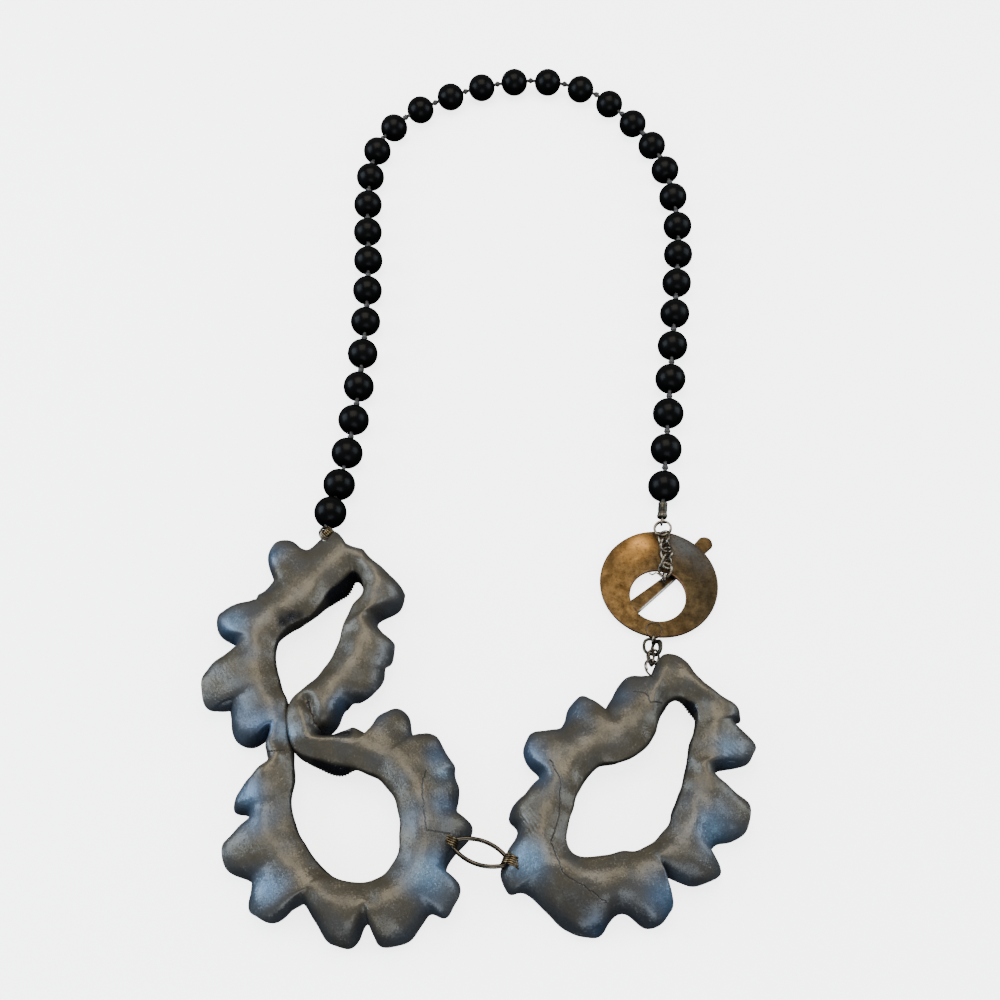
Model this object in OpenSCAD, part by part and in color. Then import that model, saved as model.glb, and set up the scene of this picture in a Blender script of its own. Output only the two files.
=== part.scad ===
// Statement necklace, lying flat. A string of round beads runs up one side, over the back and down
// the other. It ends at a round toggle clasp, and two wavy, frilled ring forms hang at the front:
// a single ring, and a double ring whose upper and lower eyes are pinched together at the waist.
// Millimetres. +Z is up from the surface that the necklace lies on, and +Y points from the frilled
// forms to the back of the neck.

/* [Beads] */
// Diameter of a bead
bead_d = 10; // [9.6:0.1:10.2]
// Number of beads on the string
bead_count = 34; // [30:1:34]
// Diameter of the hole drilled through a bead
bead_bore_d = 1.6; // [1.5:0.1:2]
// Diameter of the thread
thread_d = 1.2; // [0.8:0.1:1.3]
// Diameter of the knot between two beads
knot_d = 2.2; // [1.8:0.1:2.4]

/* [Frilled forms] */
// Thickness of the moulded wall
wall = 2; // [1.6:0.1:2.2]
// Height of the crown, the rounded ridge round each eye
crown_z = 12.2; // [11.5:0.1:13]
// Distance from the edge of an eye to the top of the crown
crown_w = 7; // [6:0.5:7.5]

/* [Toggle clasp] */
// Diameter of the toggle disc
disc_d = 35.6; // [35:0.2:36.2]
// Diameter of the hole in the toggle disc
disc_hole_d = 16.6; // [16:0.2:16.8]
// Thickness of the sheet metal of the disc
disc_t = 0.9; // [0.7:0.1:1]
// How far the middle of the disc bulges above its edge
disc_rise = 1.2; // [0.8:0.1:1.4]
// Length of the toggle bar
bar_l = 40; // [38:0.5:41]
// Width of the bar at its ends
bar_end_w = 5; // [4.5:0.1:5.4]
// Width of the bar in the middle
bar_mid_w = 3.3; // [3:0.1:3.8]
// Thickness of the bar
bar_t = 1; // [0.8:0.1:1]

/* [Wire] */
// Diameter of the wire of the long link between the frilled forms
link_wire_d = 0.9; // [0.7:0.1:1]
// Diameter of the wire of the chain's links
chain_wire_d = 0.8; // [0.6:0.1:0.8]
// Diameter of the wire of the eyes set into the frilled forms
eye_wire_d = 0.7; // [0.6:0.1:0.8]

/* [Hidden] */
$fn = 48;
bead_r = bead_d / 2;
thread_r = thread_d / 2;
bead_names = [for (i = [1 : bead_count]) str("bead_", i < 10 ? "0" : "", i)];

glaze = "#54585f";
bead_black = "#0b0b0d";
bronze = "#8a6a3c";
gunmetal = "#5b5550";
thread_grey = "#3a3a3a";

coil_r = 0.25;
eye_r = eye_wire_d / 2;
split_r = 0.3;
chain_r = chain_wire_d / 2;
link_r = link_wire_d / 2;
slot_gap = 0.2;
slot_sides = 20;
// Height of a cutting tool, more than anything that it cuts.
cut_h = 20;

// Small tools for vectors, frames and wire.

function unit(v) = v / norm(v);
function heading_of(v) = atan2(v[1], v[0]);
function rise_of(v) = atan2(v[2], norm([v[0], v[1]]));

// Moves to a point and turns the X axis to a heading and a rise, after a roll round it.
module aim(at, heading, rise = 0, roll = 0) {
    translate(at) rotate([0, -rise, heading]) rotate([roll, 0, 0]) children();
}

// The same for a row of a table that holds the centre, heading, rise and roll.
module placed(place) {
    aim(place[0], place[1], place[2], place[3]) children();
}

// A ring of round wire in the XY plane.
module wire_ring(mean_r, wire_r) {
    rotate_extrude() translate([mean_r, 0]) circle(wire_r);
}

// Some turns of wire side by side, each sunk a little into the next, where they are soldered.
module wire_turns(mean_r, wire_r, turns) {
    for (k = [0 : turns - 1])
        translate([0, 0, (k - (turns - 1) / 2) * 1.8 * wire_r]) wire_ring(mean_r, wire_r);
}

// Part of a ring of wire, from one angle to another, round a centre on the X or Y axis.
module wire_arc(centre, mean_r, wire_r, from, to) {
    translate(centre) rotate([0, 0, from])
        rotate_extrude(angle = to - from) translate([mean_r, 0]) circle(wire_r);
}

// A long link with round ends in the XY plane, its long axis on X.
module oval_link(length, width, wire_r) {
    mean_r = width / 2 - wire_r;
    straight = length - width;
    for (side = [-1, 1]) {
        wire_arc([side * straight / 2, 0, 0], mean_r, wire_r, -90 * side, 180 - 90 * side);
        translate([-straight / 2, side * mean_r, 0]) rotate([0, 90, 0]) cylinder(r = wire_r, h = straight);
    }
}

// The frilled forms. Each is one thin wall that runs once round its eye. A row of the table is one
// station: even rows are the outward folds, odd rows are the dips between them, anticlockwise.
// Columns: x, y and top of the eye's edge, foot of its inner wall, reach of the foot into the eye,
// then x, y and height of the outer rim, and half the width of the fold there.

single_folds = [
    [57.5, -96, 10, 6, 0, 57, -81, 4.5, 3.6],
    [53.5, -99, 10, 5, 1, 50.5, -88.5, 3.5, 0.6],
    [50.5, -106.5, 10, 6, 0, 43.5, -88, 4.5, 5],
    [45.5, -112.5, 10, 6, 0, 37, -97.5, 2, 1],
    [40, -115, 10, 6, 0, 30, -94.5, 7, 3.4],
    [34.5, -116, 10, 6, 0, 24, -102.5, 1.5, 1.6],
    [31, -119.5, 10, 6, 0, 14.5, -108, 7, 4.6],
    [28.5, -124, 10, 6, 0, 18, -117.5, 1.5, 1.2],
    [27, -129, 10, 6, 0, 10, -126, 2.5, 3.2],
    [26, -134, 10, 6, 0, 12, -133, 1.5, 1.6],
    [26, -138, 10, 6, 0, 7.5, -145.5, 6.5, 4.4],
    [28.5, -140, 10, 6, 0, 15.5, -150, 2, 2.8],
    [33, -140.5, 10, 6, 0, 28.5, -160, 3.5, 5.6],
    [38.5, -139.5, 10, 6, 0, 39, -154.5, 3, 2],
    [44, -138.5, 10, 6, 0, 50.5, -156, 6, 5.2],
    [47.5, -136.5, 10, 6, 0, 51, -144.5, 3, 0.4],
    [51.5, -133, 10, 6, 0, 63, -146.5, 6, 5],
    [54, -129, 10, 6, 0, 65, -137, 2, 1.6],
    [56, -123, 10, 6, 0, 75, -129, 8.5, 5.4],
    [58, -116.5, 10, 6, 0, 67, -117, 2, 1.8],
    [59.5, -110.5, 10, 6, 0, 78, -112, 8.5, 4],
    [61, -106, 10, 6, 0, 74, -102.5, 4.5, 0.4],
    [62.5, -102, 10, 5, 0.5, 75, -98, 6, 3.2],
    [62, -98, 10, 3, 2, 66.5, -92, 4, 2.4]
];

double_folds = [
    [-50.5, -103.5, 11.5, 7, 0, -38, -102.5, 1.5, 4.8],
    [-50, -95.5, 11, 7, 0, -34, -96.5, 4.5, 0.6],
    [-45, -89.5, 10, 6, 0, -28, -93, 7, 4.4],
    [-41.5, -84.5, 10, 6, 0, -25, -86.5, 7, 0.6],
    [-39.5, -79.5, 10, 6, 0, -23, -79.5, 7, 3.6],
    [-38.5, -74.5, 10, 6, 0, -28.5, -70.5, 2, 1.4],
    [-36.5, -68, 10, 6, 0, -21, -63, 4.5, 3.2],
    [-33.5, -63, 10, 6, 0, -26.5, -55, 3.5, 2],
    [-34, -59, 10, 5, 0, -33, -48, 4.5, 2],
    [-36, -56.5, 10, 3, 1.5, -39, -46, 4.5, 0.6],
    [-38.5, -58.5, 10, 2, 3, -43.5, -41, 7, 2],
    [-42.5, -63, 10, 3, 1.5, -51, -46, 3.5, 1],
    [-46.5, -70, 10, 6, 0, -60.5, -46, 8.5, 4.8],
    [-50.5, -72.5, 10, 5, 0.5, -61, -56.5, 2.5, 1.2],
    [-53, -74, 10, 5, 0.5, -65, -61.5, 3.5, 1.6],
    [-54.5, -75.5, 10, 5, 0.5, -67, -63.5, 2.5, 0.6],
    [-56, -78, 10, 6, 0, -75.5, -70, 7, 4.8],
    [-56.5, -80.5, 10, 6, 0, -70, -78.5, 1.5, 1.4],
    [-56, -86, 10, 6, 0, -77.5, -92, 9, 6.8],
    [-54.5, -91.5, 10, 6, 0, -70, -98, 2.5, 0.6],
    [-52.5, -96, 11, 7, 0, -65.5, -107.5, 3.5, 3.8],
    [-51, -101.5, 11.5, 7, 0, -57.5, -106, 2, 0.4],
    [-50.5, -107.5, 11.5, 7, 0, -58, -110.5, 3.5, 1.6],
    [-49, -112.5, 10.5, 6, 0, -57, -115, 2, 1],
    [-48.5, -119.5, 10, 6, 0, -65.5, -123.5, 4.5, 3.4],
    [-48.5, -126, 10, 6, 0, -61, -129, 1.5, 1.4],
    [-46, -133.5, 10, 6, 0, -66.5, -139.5, 8.5, 4.8],
    [-43.5, -138, 10, 6, 0, -59, -146, 2, 1],
    [-40, -142.5, 10, 6, 0, -55.5, -156, 7, 4.2],
    [-36.5, -145, 10, 6, 0, -44.5, -152.5, 3.5, 1.2],
    [-32.5, -146.5, 10, 6, 0, -34.5, -162.5, 3.5, 4],
    [-29, -147, 10, 6, 0, -27, -157, 3.5, 0.8],
    [-25.5, -146.5, 10, 6, 0, -20, -162.5, 3.5, 4.4],
    [-22.5, -144.5, 10, 6, 0, -11, -155, 3.5, 1.2],
    [-20.5, -141.5, 10, 6, 0, -3.5, -151.5, 7.5, 5],
    [-19.5, -138, 10, 6, 0, -6.5, -142, 1.5, 1.8],
    [-19.5, -133.5, 10, 6, 0, 0, -132.5, 2, 2.6],
    [-20, -129, 10, 6, 0, -4, -127, 3.5, 0.8],
    [-21, -125.5, 10, 6, 0, -3.5, -120.5, 4.5, 3.6],
    [-23, -122.5, 10, 6, 0, -5.5, -114.5, 4.5, 0.8],
    [-25.5, -119.5, 10, 6, 0, -10.5, -106, 7, 4],
    [-28.5, -118, 10, 6, 0, -16.5, -105.5, 3.5, 0.4],
    [-32, -116.5, 10, 6, 0, -22, -98.5, 6, 3.8],
    [-35.5, -116, 10, 4, 2, -29.5, -105, 4, 0.6],
    [-40.5, -115, 10, 3, 2, -33, -103.5, 6, 2],
    [-47.5, -112.5, 10.5, 6, 0, -42.5, -106.5, 6, 0.6]
];

// Heights in the tables are let down by this much, until the lowest dips rest on the surface.
settle = 0.8;
// A fold's shoulders lie this much lower than its tip, and are drawn in by this share of its width.
shoulder_drop = 3;
shoulder_pull = 0.3;
// Stations worked out between two rim points, and rim points in a fold.
steps = 3;
rim_points = 5;
// Where along the eye's edge each rim point of a fold starts, as a share of the fold.
eye_share = [[0, 0], [1, 0.17], [2, 0.4], [3, 0.6], [4, 0.83], [5, 1]];

// The smooth closed curve through points p, at parameter v in steps of one point.
function closed_curve(p, v) =
    let (n = len(p), i = floor(v), t = v - i)
    let (a = p[(i + n - 1) % n], b = p[i % n], c = p[(i + 1) % n], d = p[(i + 2) % n])
    0.5 * (2 * b + (c - a) * t + (2 * a - 5 * b + 4 * c - d) * t * t + (3 * b - 3 * c + d - a) * t * t * t);

// The five rim points of a fold: tip, far shoulder, two in the dip, and the next fold's shoulder.
function rim_xy(row) = [row[5], row[6]];
function rim_dir(rows, k) =
    let (n = len(rows))
    unit(rim_xy(rows[(k + 1) % n]) - rim_xy(rows[(k + n - 1) % n]));
function shoulder(rows, k, side) =
    let (row = rows[k % len(rows)], t = rim_dir(rows, k % len(rows)), out = [t[1], -t[0]])
    let (xy = rim_xy(row) + (side * t - shoulder_pull * out) * row[8])
    [xy[0], xy[1], max(row[7] - shoulder_drop, min(1.6, row[7]))];
function dip(rows, k, side) =
    let (row = rows[k], xy = rim_xy(row) + side * rim_dir(rows, k) * row[8])
    [xy[0], xy[1], row[7]];
function rim_curve(rows) = [
    for (k = [0 : 2 : len(rows) - 1])
        each [
            [rows[k][5], rows[k][6], rows[k][7]],
            shoulder(rows, k, 1),
            dip(rows, k + 1, -1),
            dip(rows, k + 1, 1),
            shoulder(rows, k + 2, -1)
        ]
];

// The eye's edge is a round brow: points just below and just above it, as [distance, height].
foot_x = 0.7;
knee = [0.1, 0.4];
knee_toe = 0.45;
edge = [0.4, -0.5];
brow = [2, 0.7];
// A crown is no wider than this share of the wall's reach, and its outer flank is fuller on a
// short wall than on a long one: fullness falls by this much for each millimetre of reach.
crown_share = 0.55;
fullness_start = 1.15;
fullness_fall = 0.028;
fullness_range = [0.5, 0.9];
// The flank's point and the skirt's point, as shares of the way that is left to the rim.
flank_at = 0.62;
skirt = [0.7, 0.5];

// The upper side of a section as [distance from the eye's edge, height], from the foot of the
// inner wall over the crown and down to the rim.
function section_top(top, foot, toe, reach, rim_z) =
    let (crown = min(crown_w, crown_share * reach))
    let (fullness = min(fullness_range[1], max(fullness_range[0], fullness_start - fullness_fall * reach)))
    let (crest = crown_z + settle)
    let (flank = crown + (reach - crown) * flank_at, flank_z = rim_z + (crest - rim_z) * fullness)
    [
        [foot_x - toe, foot],
        [knee[0] - knee_toe * toe, foot + (top - foot) * knee[1]],
        [edge[0], top + edge[1]],
        [brow[0], top + brow[1]],
        [crown, crest],
        [flank, flank_z],
        [flank + (reach - flank) * skirt[0], rim_z + (flank_z - rim_z) * skirt[1]],
        [reach, rim_z]
    ];

// The under side follows the upper one at the thickness of the wall, measured across it. A short
// wall is thinner, by its share of the reach. The inner wall's foot is as thick as its sole.
thin_share = 0.2;
sole = [1.7, 0.3];
function across(s, k) =
    let (d = s[min(k + 1, len(s) - 1)] - s[k - 1])
    unit([-d[1], d[0]]);
function section_under(s, t) = [
    for (k = [len(s) - 1 : -1 : 4]) s[k] - t * across(s, k),
    s[0] + sole
];
function section_loop(s, t) = concat(s, section_under(s, t));

// All sections, each carried out from its point on the eye's edge towards its point on the rim.
function sections(rows) =
    let (rim = rim_curve(rows), folds = len(rows) / 2, eye = [for (r = rows) [r[0], r[1], r[2], r[3], r[4]]])
    [
        for (i = [0 : folds * rim_points * steps - 1])
            let (v = i / steps, fold = floor(v / rim_points))
            let (r = closed_curve(rim, v))
            let (e = closed_curve(eye, 2 * (fold + lookup(v - fold * rim_points, eye_share))))
            let (from = [e[0], e[1]], way = [r[0], r[1]] - from, reach = norm(way), dir = way / reach)
            let (s = section_top(e[2], e[3], e[4], reach, r[2]))
            [
                for (q = section_loop(s, min(wall, thin_share * reach)))
                    [from[0] + dir[0] * q[0], from[1] + dir[1] * q[0], max(0, q[1] - settle)]
            ]
    ];

// Joins the sections into one closed skin of triangles.
module frill(rows) {
    rings = sections(rows);
    n = len(rings[0]);
    count = len(rings);
    polyhedron(
        points = [for (ring = rings) each ring],
        faces = [
            for (i = [0 : count - 1])
                for (j = [0 : n - 1])
                    let (a = i * n + j, b = i * n + (j + 1) % n)
                    let (c = ((i + 1) % count) * n + j, d = ((i + 1) % count) * n + (j + 1) % n)
                    each [[a, d, b], [a, c, d]]
        ],
        convexity = 10);
}

// Rings and coils set into the frilled forms. Columns: centre, heading, rise and roll of the ring's
// plane, radius to the middle of the wire, and number of turns.
split_ring_place = [[-45.05, -43.15, 6.6], 110, 0, 60, 2.3, 2];
left_coil_place = [[-6.2, -136.3, 6.9], -20, 0, 90, 2.5, 3];
right_coil_place = [[10.6, -142.4, 7.6], -20, 0, 90, 2.5, 3];
ruffle_ring_place = [[51.2, -85.7, 3.9], -90, 0, 125, 2.5, 1];

module eye_ring(place, wire_r) {
    placed(place) wire_turns(place[4], wire_r, place[5]);
}

// The slot that a ring passes through in a moulded wall, a little wider than its wire.
module eye_slot(place, wire_r) {
    placed(place)
        rotate_extrude($fn = slot_sides) translate([place[4], 0])
            square(2 * [wire_r + slot_gap, wire_r * (0.9 * place[5] + 0.1) + slot_gap], center = true);
}

// At the waist the two sides of the double form are pinched together. A strip inside the walls
// joins them there: points along its left side, points back along its right side, and its heights.
pinch_left = [[-52.6, -99.4], [-52.2, -103], [-52, -107], [-51.6, -109.6]];
pinch_right = [[-47.5, -109.6], [-48.2, -107], [-49, -103], [-49.3, -99.4]];
pinch_z = [6.9, 9.4];

module pinched_waist() {
    translate([0, 0, pinch_z[0]]) linear_extrude(pinch_z[1] - pinch_z[0])
        polygon(concat(pinch_right, pinch_left));
}

module double_ruffle() {
    color(glaze) difference() {
        union() {
            frill(double_folds);
            pinched_waist();
        }
        eye_slot(split_ring_place, split_r);
        eye_slot(left_coil_place, coil_r);
    }
}

module single_ruffle() {
    color(glaze) difference() {
        frill(single_folds);
        eye_slot(right_coil_place, coil_r);
        eye_slot(ruffle_ring_place, eye_r);
    }
}

// The string of beads. Its knots follow one another from the double form, over the back of the
// neck, to the clasp. Between two rows of the table the values run on in a straight line.
strand_start = [-45.7, -39.4];
// Columns: step, its heading and its length.
strand_steps = [
    [0, 78, 10],
    [2, 83, 12.6],
    [4, 87, 13.4],
    [7, 91, 13.6],
    [9, 94.5, 13],
    [11, 87.5, 13.6],
    [12, 76, 13.1],
    [13, 54, 13.9],
    [14, 35.5, 13.6],
    [15, 28, 12.9],
    [17, 8.5, 12.9],
    [19, -25.5, 13.3],
    [20, -48.5, 14],
    [21, -54.5, 12.7],
    [22, -65.5, 13.6],
    [23, -78.5, 12.8],
    [24, -84.5, 14.3],
    [26, -96, 12.8],
    [28, -97, 13.7],
    [33, -96.5, 13.9]
];
step_heading = [for (s = strand_steps) [s[0], s[1]]];
step_length = [for (s = strand_steps) [s[0], s[2]]];
knot_height = [[0, 6.4], [1, 5.6], [2, 5.1], [3, 5], [34, 5]];
// Where two beads sit closer than this, the thread has no knot.
room_for_knot = 12.4;
thread_sides = 6;

function step(i) =
    let (a = lookup(i, step_heading))
    lookup(i, step_length) * [cos(a), sin(a)];
function knot_points(i = 0, xy = strand_start) =
    let (p = [xy[0], xy[1], max(lookup(i, knot_height), bead_r)])
    i < bead_count ? concat([p], knot_points(i + 1, xy + step(i))) : [p];
knots = knot_points();

module bead(i) {
    way = knots[i + 1] - knots[i];
    color(bead_black)
        aim((knots[i] + knots[i + 1]) / 2, heading_of(way), rise_of(way))
            rotate([0, 90, 0]) rotate_extrude() intersection() {
                circle(bead_r);
                translate([bead_bore_d / 2, -bead_r]) square([bead_r, bead_d]);
            }
}

// The thread ends in a bore in the cord tip, which lies between these two points. Its mouth is a
// little past the last knot.
tip_end = [57.4, -35.75, 4.6];
past_knot = 1.3;
tip_mouth = knots[bead_count] + past_knot * unit(tip_end - knots[bead_count]);
tip_bore_depth = 2;

// The thread's last loop, which hangs in the split ring.
loop_centre = [-45.85, -41, 6.6];
loop_r = 1.2;
loop_thread_r = 0.35;
loop_roll = -28;

// Points along the thread with its radius at each: three round every knot, then the end in the tip.
function knot_stations(i) =
    let (back = i == 0 ? knots[0] - loop_centre : knots[i] - knots[i - 1])
    let (on = i == bead_count ? tip_end - knots[i] : knots[i + 1] - knots[i])
    let (tied = lookup(i - 1, step_length) >= room_for_knot)
    [
        [knots[i] - knot_d / 2 * unit(back), thread_r],
        [knots[i], tied ? knot_d / 2 : thread_r],
        [knots[i] + knot_d / 2 * unit(on), thread_r]
    ];
thread_stations = concat(
    [[loop_centre + loop_r * unit(knots[0] - loop_centre), loop_thread_r], [knots[0], thread_r]],
    [for (i = [1 : bead_count]) each knot_stations(i)],
    [[tip_mouth + (tip_bore_depth - slot_gap) * unit(tip_end - tip_mouth), thread_r]]);

// A closed skin round a line of stations, each a point and a radius.
module strand_skin(stations, sides) {
    last = len(stations) - 1;
    polyhedron(
        points = [
            for (i = [0 : last])
                let (t = unit(stations[min(i + 1, last)][0] - stations[max(i - 1, 0)][0]))
                let (across = unit([t[1], -t[0], 0]), up = cross(across, t))
                for (k = [0 : sides - 1])
                    let (a = 360 * k / sides)
                    stations[i][0] + stations[i][1] * (cos(a) * across + sin(a) * up)
        ],
        faces = concat(
            [
                for (i = [0 : last - 1])
                    for (k = [0 : sides - 1])
                        let (a = i * sides + k, b = i * sides + (k + 1) % sides)
                        each [[a, b, b + sides], [a, b + sides, a + sides]]
            ],
            [[for (k = [sides - 1 : -1 : 0]) k]],
            [[for (k = [0 : sides - 1]) last * sides + k]]),
        convexity = 10);
}

module bead_thread() {
    away = unit(knots[0] - loop_centre);
    color(thread_grey) {
        strand_skin(thread_stations, thread_sides);
        aim(loop_centre, heading_of(away), rise_of(away), loop_roll) wire_ring(loop_r, loop_thread_r);
    }
}

// The cord tip: a short dark tube that holds the end of the thread, with an eye on its closed end.
tip_r = 1.45;
tip_eye_r = 1.1;
tip_eye_wire_r = 0.35;

module cord_tip() {
    way = tip_end - tip_mouth;
    color(gunmetal) aim(tip_mouth, heading_of(way), rise_of(way)) {
        difference() {
            rotate([0, 90, 0]) cylinder(r = tip_r, h = norm(way));
            rotate([0, 90, 0]) cylinder(d = bead_bore_d, h = tip_bore_depth);
        }
        translate([norm(way) + tip_eye_r, 0, 0]) rotate([90, 0, 0]) wire_ring(tip_eye_r, tip_eye_wire_r);
    }
}

// The ring that joins the cord tip to the chain.
clasp_ring_place = [[57.4, -39.45, 4.5], -90, 0, 8];
clasp_ring_r = 2.5;
clasp_ring_wire_r = 0.45;

module clasp_ring() {
    color(gunmetal) placed(clasp_ring_place) wire_ring(clasp_ring_r, clasp_ring_wire_r);
}

// The chain's four links. Columns: centre, heading, rise and roll.
chain_length = 5.2;
chain_width = 3.8;
chain_links = [
    [[57.5, -43.05, 4.6], -92, 3, 60],
    [[57.3, -46.5, 4.95], -91, 4, -35],
    [[57.4, -49.9, 5.2], -92, 2, 55],
    [[57.15, -53.1, 4.35], -93, -25, 0]
];

module toggle_chain() {
    color(gunmetal)
        for (link = chain_links)
            placed(link) oval_link(chain_length, chain_width, chain_r);
}

// The toggle bar lies under the disc, with one end past its edge. An eye on a short post stands on
// it in the disc's hole.
bar_centre = [57.6, -54.7, 0];
bar_heading = 43;
bar_eye_centre = [56.95, -55.45, 3.35];
bar_eye_r = 1.3;
bar_post_r = 0.7;
// The bar narrows to its middle between two large arcs, each a quarter of its length from it.
arc_sides = 240;

module toggle_bar() {
    waist_r = (pow(bar_l / 4, 2) + pow((bar_end_w - bar_mid_w) / 2, 2)) / (bar_end_w - bar_mid_w);
    color(bronze) {
        translate(bar_centre) rotate([0, 0, bar_heading]) linear_extrude(bar_t) difference() {
            union() {
                square([bar_l - bar_end_w, bar_end_w], center = true);
                for (side = [-1, 1]) translate([side * (bar_l - bar_end_w) / 2, 0]) circle(d = bar_end_w);
            }
            for (side = [-1, 1])
                translate([0, side * (bar_mid_w / 2 + waist_r)]) circle(r = waist_r, $fn = arc_sides);
        }
        translate([bar_eye_centre[0], bar_eye_centre[1], bar_t / 2])
            cylinder(r = bar_post_r, h = bar_eye_centre[2] - bar_eye_r - bar_t / 2);
        translate(bar_eye_centre) rotate([0, 90, 0]) wire_ring(bar_eye_r, chain_r);
    }
}

// The toggle disc: a shallow dome of sheet metal with an off-centre hole. A half-round tab and an
// eye are soldered to its lower edge.
disc_centre = [55.4, -56.8];
bar_to_disc = 0.3;
disc_edge_z = bar_t + bar_to_disc;
disc_hole_centre = [54.7, -61.5];
dome_r = (pow(disc_d / 2, 2) + pow(disc_rise, 2)) / (2 * disc_rise);
dome_sides = 96;
tab_heading = -99;
tab_r = 2.4;
tab_reach = 15.5;
tab_t = 0.5;
tab_lift = 0.1;
disc_eye_centre = [52.5, -75.1, 1.8];
disc_eye_r = 1.15;

module toggle_disc() {
    color(bronze) {
        difference() {
            translate([disc_centre[0], disc_centre[1], disc_edge_z]) {
                difference() {
                    intersection() {
                        translate([0, 0, disc_rise - dome_r]) sphere(r = dome_r + disc_t, $fn = dome_sides);
                        cylinder(d = disc_d, h = cut_h);
                    }
                    translate([0, 0, disc_rise - dome_r]) sphere(r = dome_r, $fn = dome_sides);
                }
                rotate([0, 0, tab_heading]) translate([tab_reach, 0, tab_lift])
                    cylinder(r = tab_r, h = disc_t + tab_t);
            }
            translate([disc_hole_centre[0], disc_hole_centre[1], 0]) cylinder(d = disc_hole_d, h = cut_h);
        }
        translate(disc_eye_centre) rotate([90, 0, tab_heading]) wire_ring(disc_eye_r, eye_r);
    }
}

// The ring and the link that hang the single form from the disc.
disc_ring_place = [[52, -77.6, 1.9], -95, 0, -10];
disc_ring_r = 2.4;

module disc_ring() {
    color(gunmetal) placed(disc_ring_place) wire_ring(disc_ring_r, clasp_ring_wire_r);
}

disc_link_place = [[51.5, -81.45, 2.8], -87, 22, 60];
disc_link_length = 6.3;
disc_link_width = 3.3;

module disc_link() {
    color(gunmetal) placed(disc_link_place) oval_link(disc_link_length, disc_link_width, eye_r);
}

module ruffle_ring() {
    color(gunmetal) eye_ring(ruffle_ring_place, eye_r);
}

module split_ring() {
    color("silver") eye_ring(split_ring_place, split_r);
}

module left_coil() {
    color(bronze) eye_ring(left_coil_place, coil_r);
}

module right_coil() {
    color(bronze) eye_ring(right_coil_place, coil_r);
}

// The long link between the two forms. Its centre line is four arcs: a wide one on each side, and
// a small one round each end.
marquise_tips = [[-4.9, -136.8, 7.4], [9.2, -141.9, 8]];
marquise_half_width = 3.15;
marquise_end_r = 1.6;
marquise_sides = 8;
end_arc_steps = 8;
side_arc_steps = 14;

function arc_points(centre, r, from, to, steps) = [
    for (k = [0 : steps - 1]) let (a = from + (to - from) * k / steps) centre + r * [cos(a), sin(a)]
];

// A closed loop of wire in the XY plane, along a ring of points.
module bent_wire(path, wire_r, sides) {
    count = len(path);
    polyhedron(
        points = [
            for (i = [0 : count - 1])
                let (t = unit(path[(i + 1) % count] - path[(i + count - 1) % count]))
                for (k = [0 : sides - 1])
                    let (a = 360 * k / sides, xy = path[i] + wire_r * cos(a) * [t[1], -t[0]])
                    [xy[0], xy[1], wire_r * sin(a)]
        ],
        faces = [
            for (i = [0 : count - 1])
                for (k = [0 : sides - 1])
                    let (a = i * sides + k, b = i * sides + (k + 1) % sides)
                    let (c = ((i + 1) % count) * sides + k, d = ((i + 1) % count) * sides + (k + 1) % sides)
                    each [[a, b, d], [a, d, c]]
        ],
        convexity = 4);
}

module marquise_link() {
    way = marquise_tips[1] - marquise_tips[0];
    run = norm(way) / 2 - marquise_end_r;
    side_r = (run * run + pow(marquise_half_width, 2) - pow(marquise_end_r, 2))
        / (2 * (marquise_half_width - marquise_end_r));
    spread = asin(run / (side_r - marquise_end_r));
    path = concat(
        arc_points([run, 0], marquise_end_r, spread - 90, 90 - spread, end_arc_steps),
        arc_points([0, marquise_half_width - side_r], side_r, 90 - spread, 90 + spread, side_arc_steps),
        arc_points([-run, 0], marquise_end_r, 90 + spread, 270 - spread, end_arc_steps),
        arc_points([0, side_r - marquise_half_width], side_r, 270 - spread, 270 + spread, side_arc_steps));
    color(gunmetal)
        aim((marquise_tips[0] + marquise_tips[1]) / 2, heading_of(way), rise_of(way))
            bent_wire(path, link_r, marquise_sides);
}

double_ruffle();
single_ruffle();
bead_thread();
cord_tip();
clasp_ring();
toggle_chain();
toggle_bar();
toggle_disc();
disc_ring();
disc_link();
ruffle_ring();
split_ring();
marquise_link();
left_coil();
right_coil();
for (i = [0 : bead_count - 1])
    bead(i);
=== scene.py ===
# %% [markdown]
# A statement necklace lies flat on a pale table. A string of black beads runs over the back of
# the neck, a round toggle clasp closes it on one side, and two frilled forms modelled by hand
# hang at the front. Its solids come from a CAD model, already in the right place. This lesson
# loads them as a frame and then makes the finer surfaces that a camera sees. All the shapes are
# worked out in millimetres, because the tables are easier to read so, and turned into metres
# at the moment when a mesh is made.

import bpy
import numpy as np
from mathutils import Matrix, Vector


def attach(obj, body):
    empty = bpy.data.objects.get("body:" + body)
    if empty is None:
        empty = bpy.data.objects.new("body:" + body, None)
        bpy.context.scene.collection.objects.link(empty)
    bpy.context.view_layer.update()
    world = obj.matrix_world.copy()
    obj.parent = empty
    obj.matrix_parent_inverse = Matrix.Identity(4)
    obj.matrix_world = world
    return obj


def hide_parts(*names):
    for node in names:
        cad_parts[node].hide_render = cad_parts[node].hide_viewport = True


MM = 0.001
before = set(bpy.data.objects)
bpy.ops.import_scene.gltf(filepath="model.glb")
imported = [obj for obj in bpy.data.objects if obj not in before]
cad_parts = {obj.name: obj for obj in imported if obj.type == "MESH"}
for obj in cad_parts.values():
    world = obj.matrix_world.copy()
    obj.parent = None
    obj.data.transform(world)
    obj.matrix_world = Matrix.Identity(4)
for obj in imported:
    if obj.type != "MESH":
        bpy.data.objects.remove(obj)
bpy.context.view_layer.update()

# %% [markdown]
# The photograph was taken from in front and well above, at about 59 degrees over the table. A
# camera could be placed by eye, but the place was worked out from points that are easy to name
# in both, such as bead centres and the middle of the disc. It then only has to look at a
# point on the table, as each lamp does later.

# %% Camera
looks_at = Vector((7.5, -26.5, 0.0)) * MM


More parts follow.
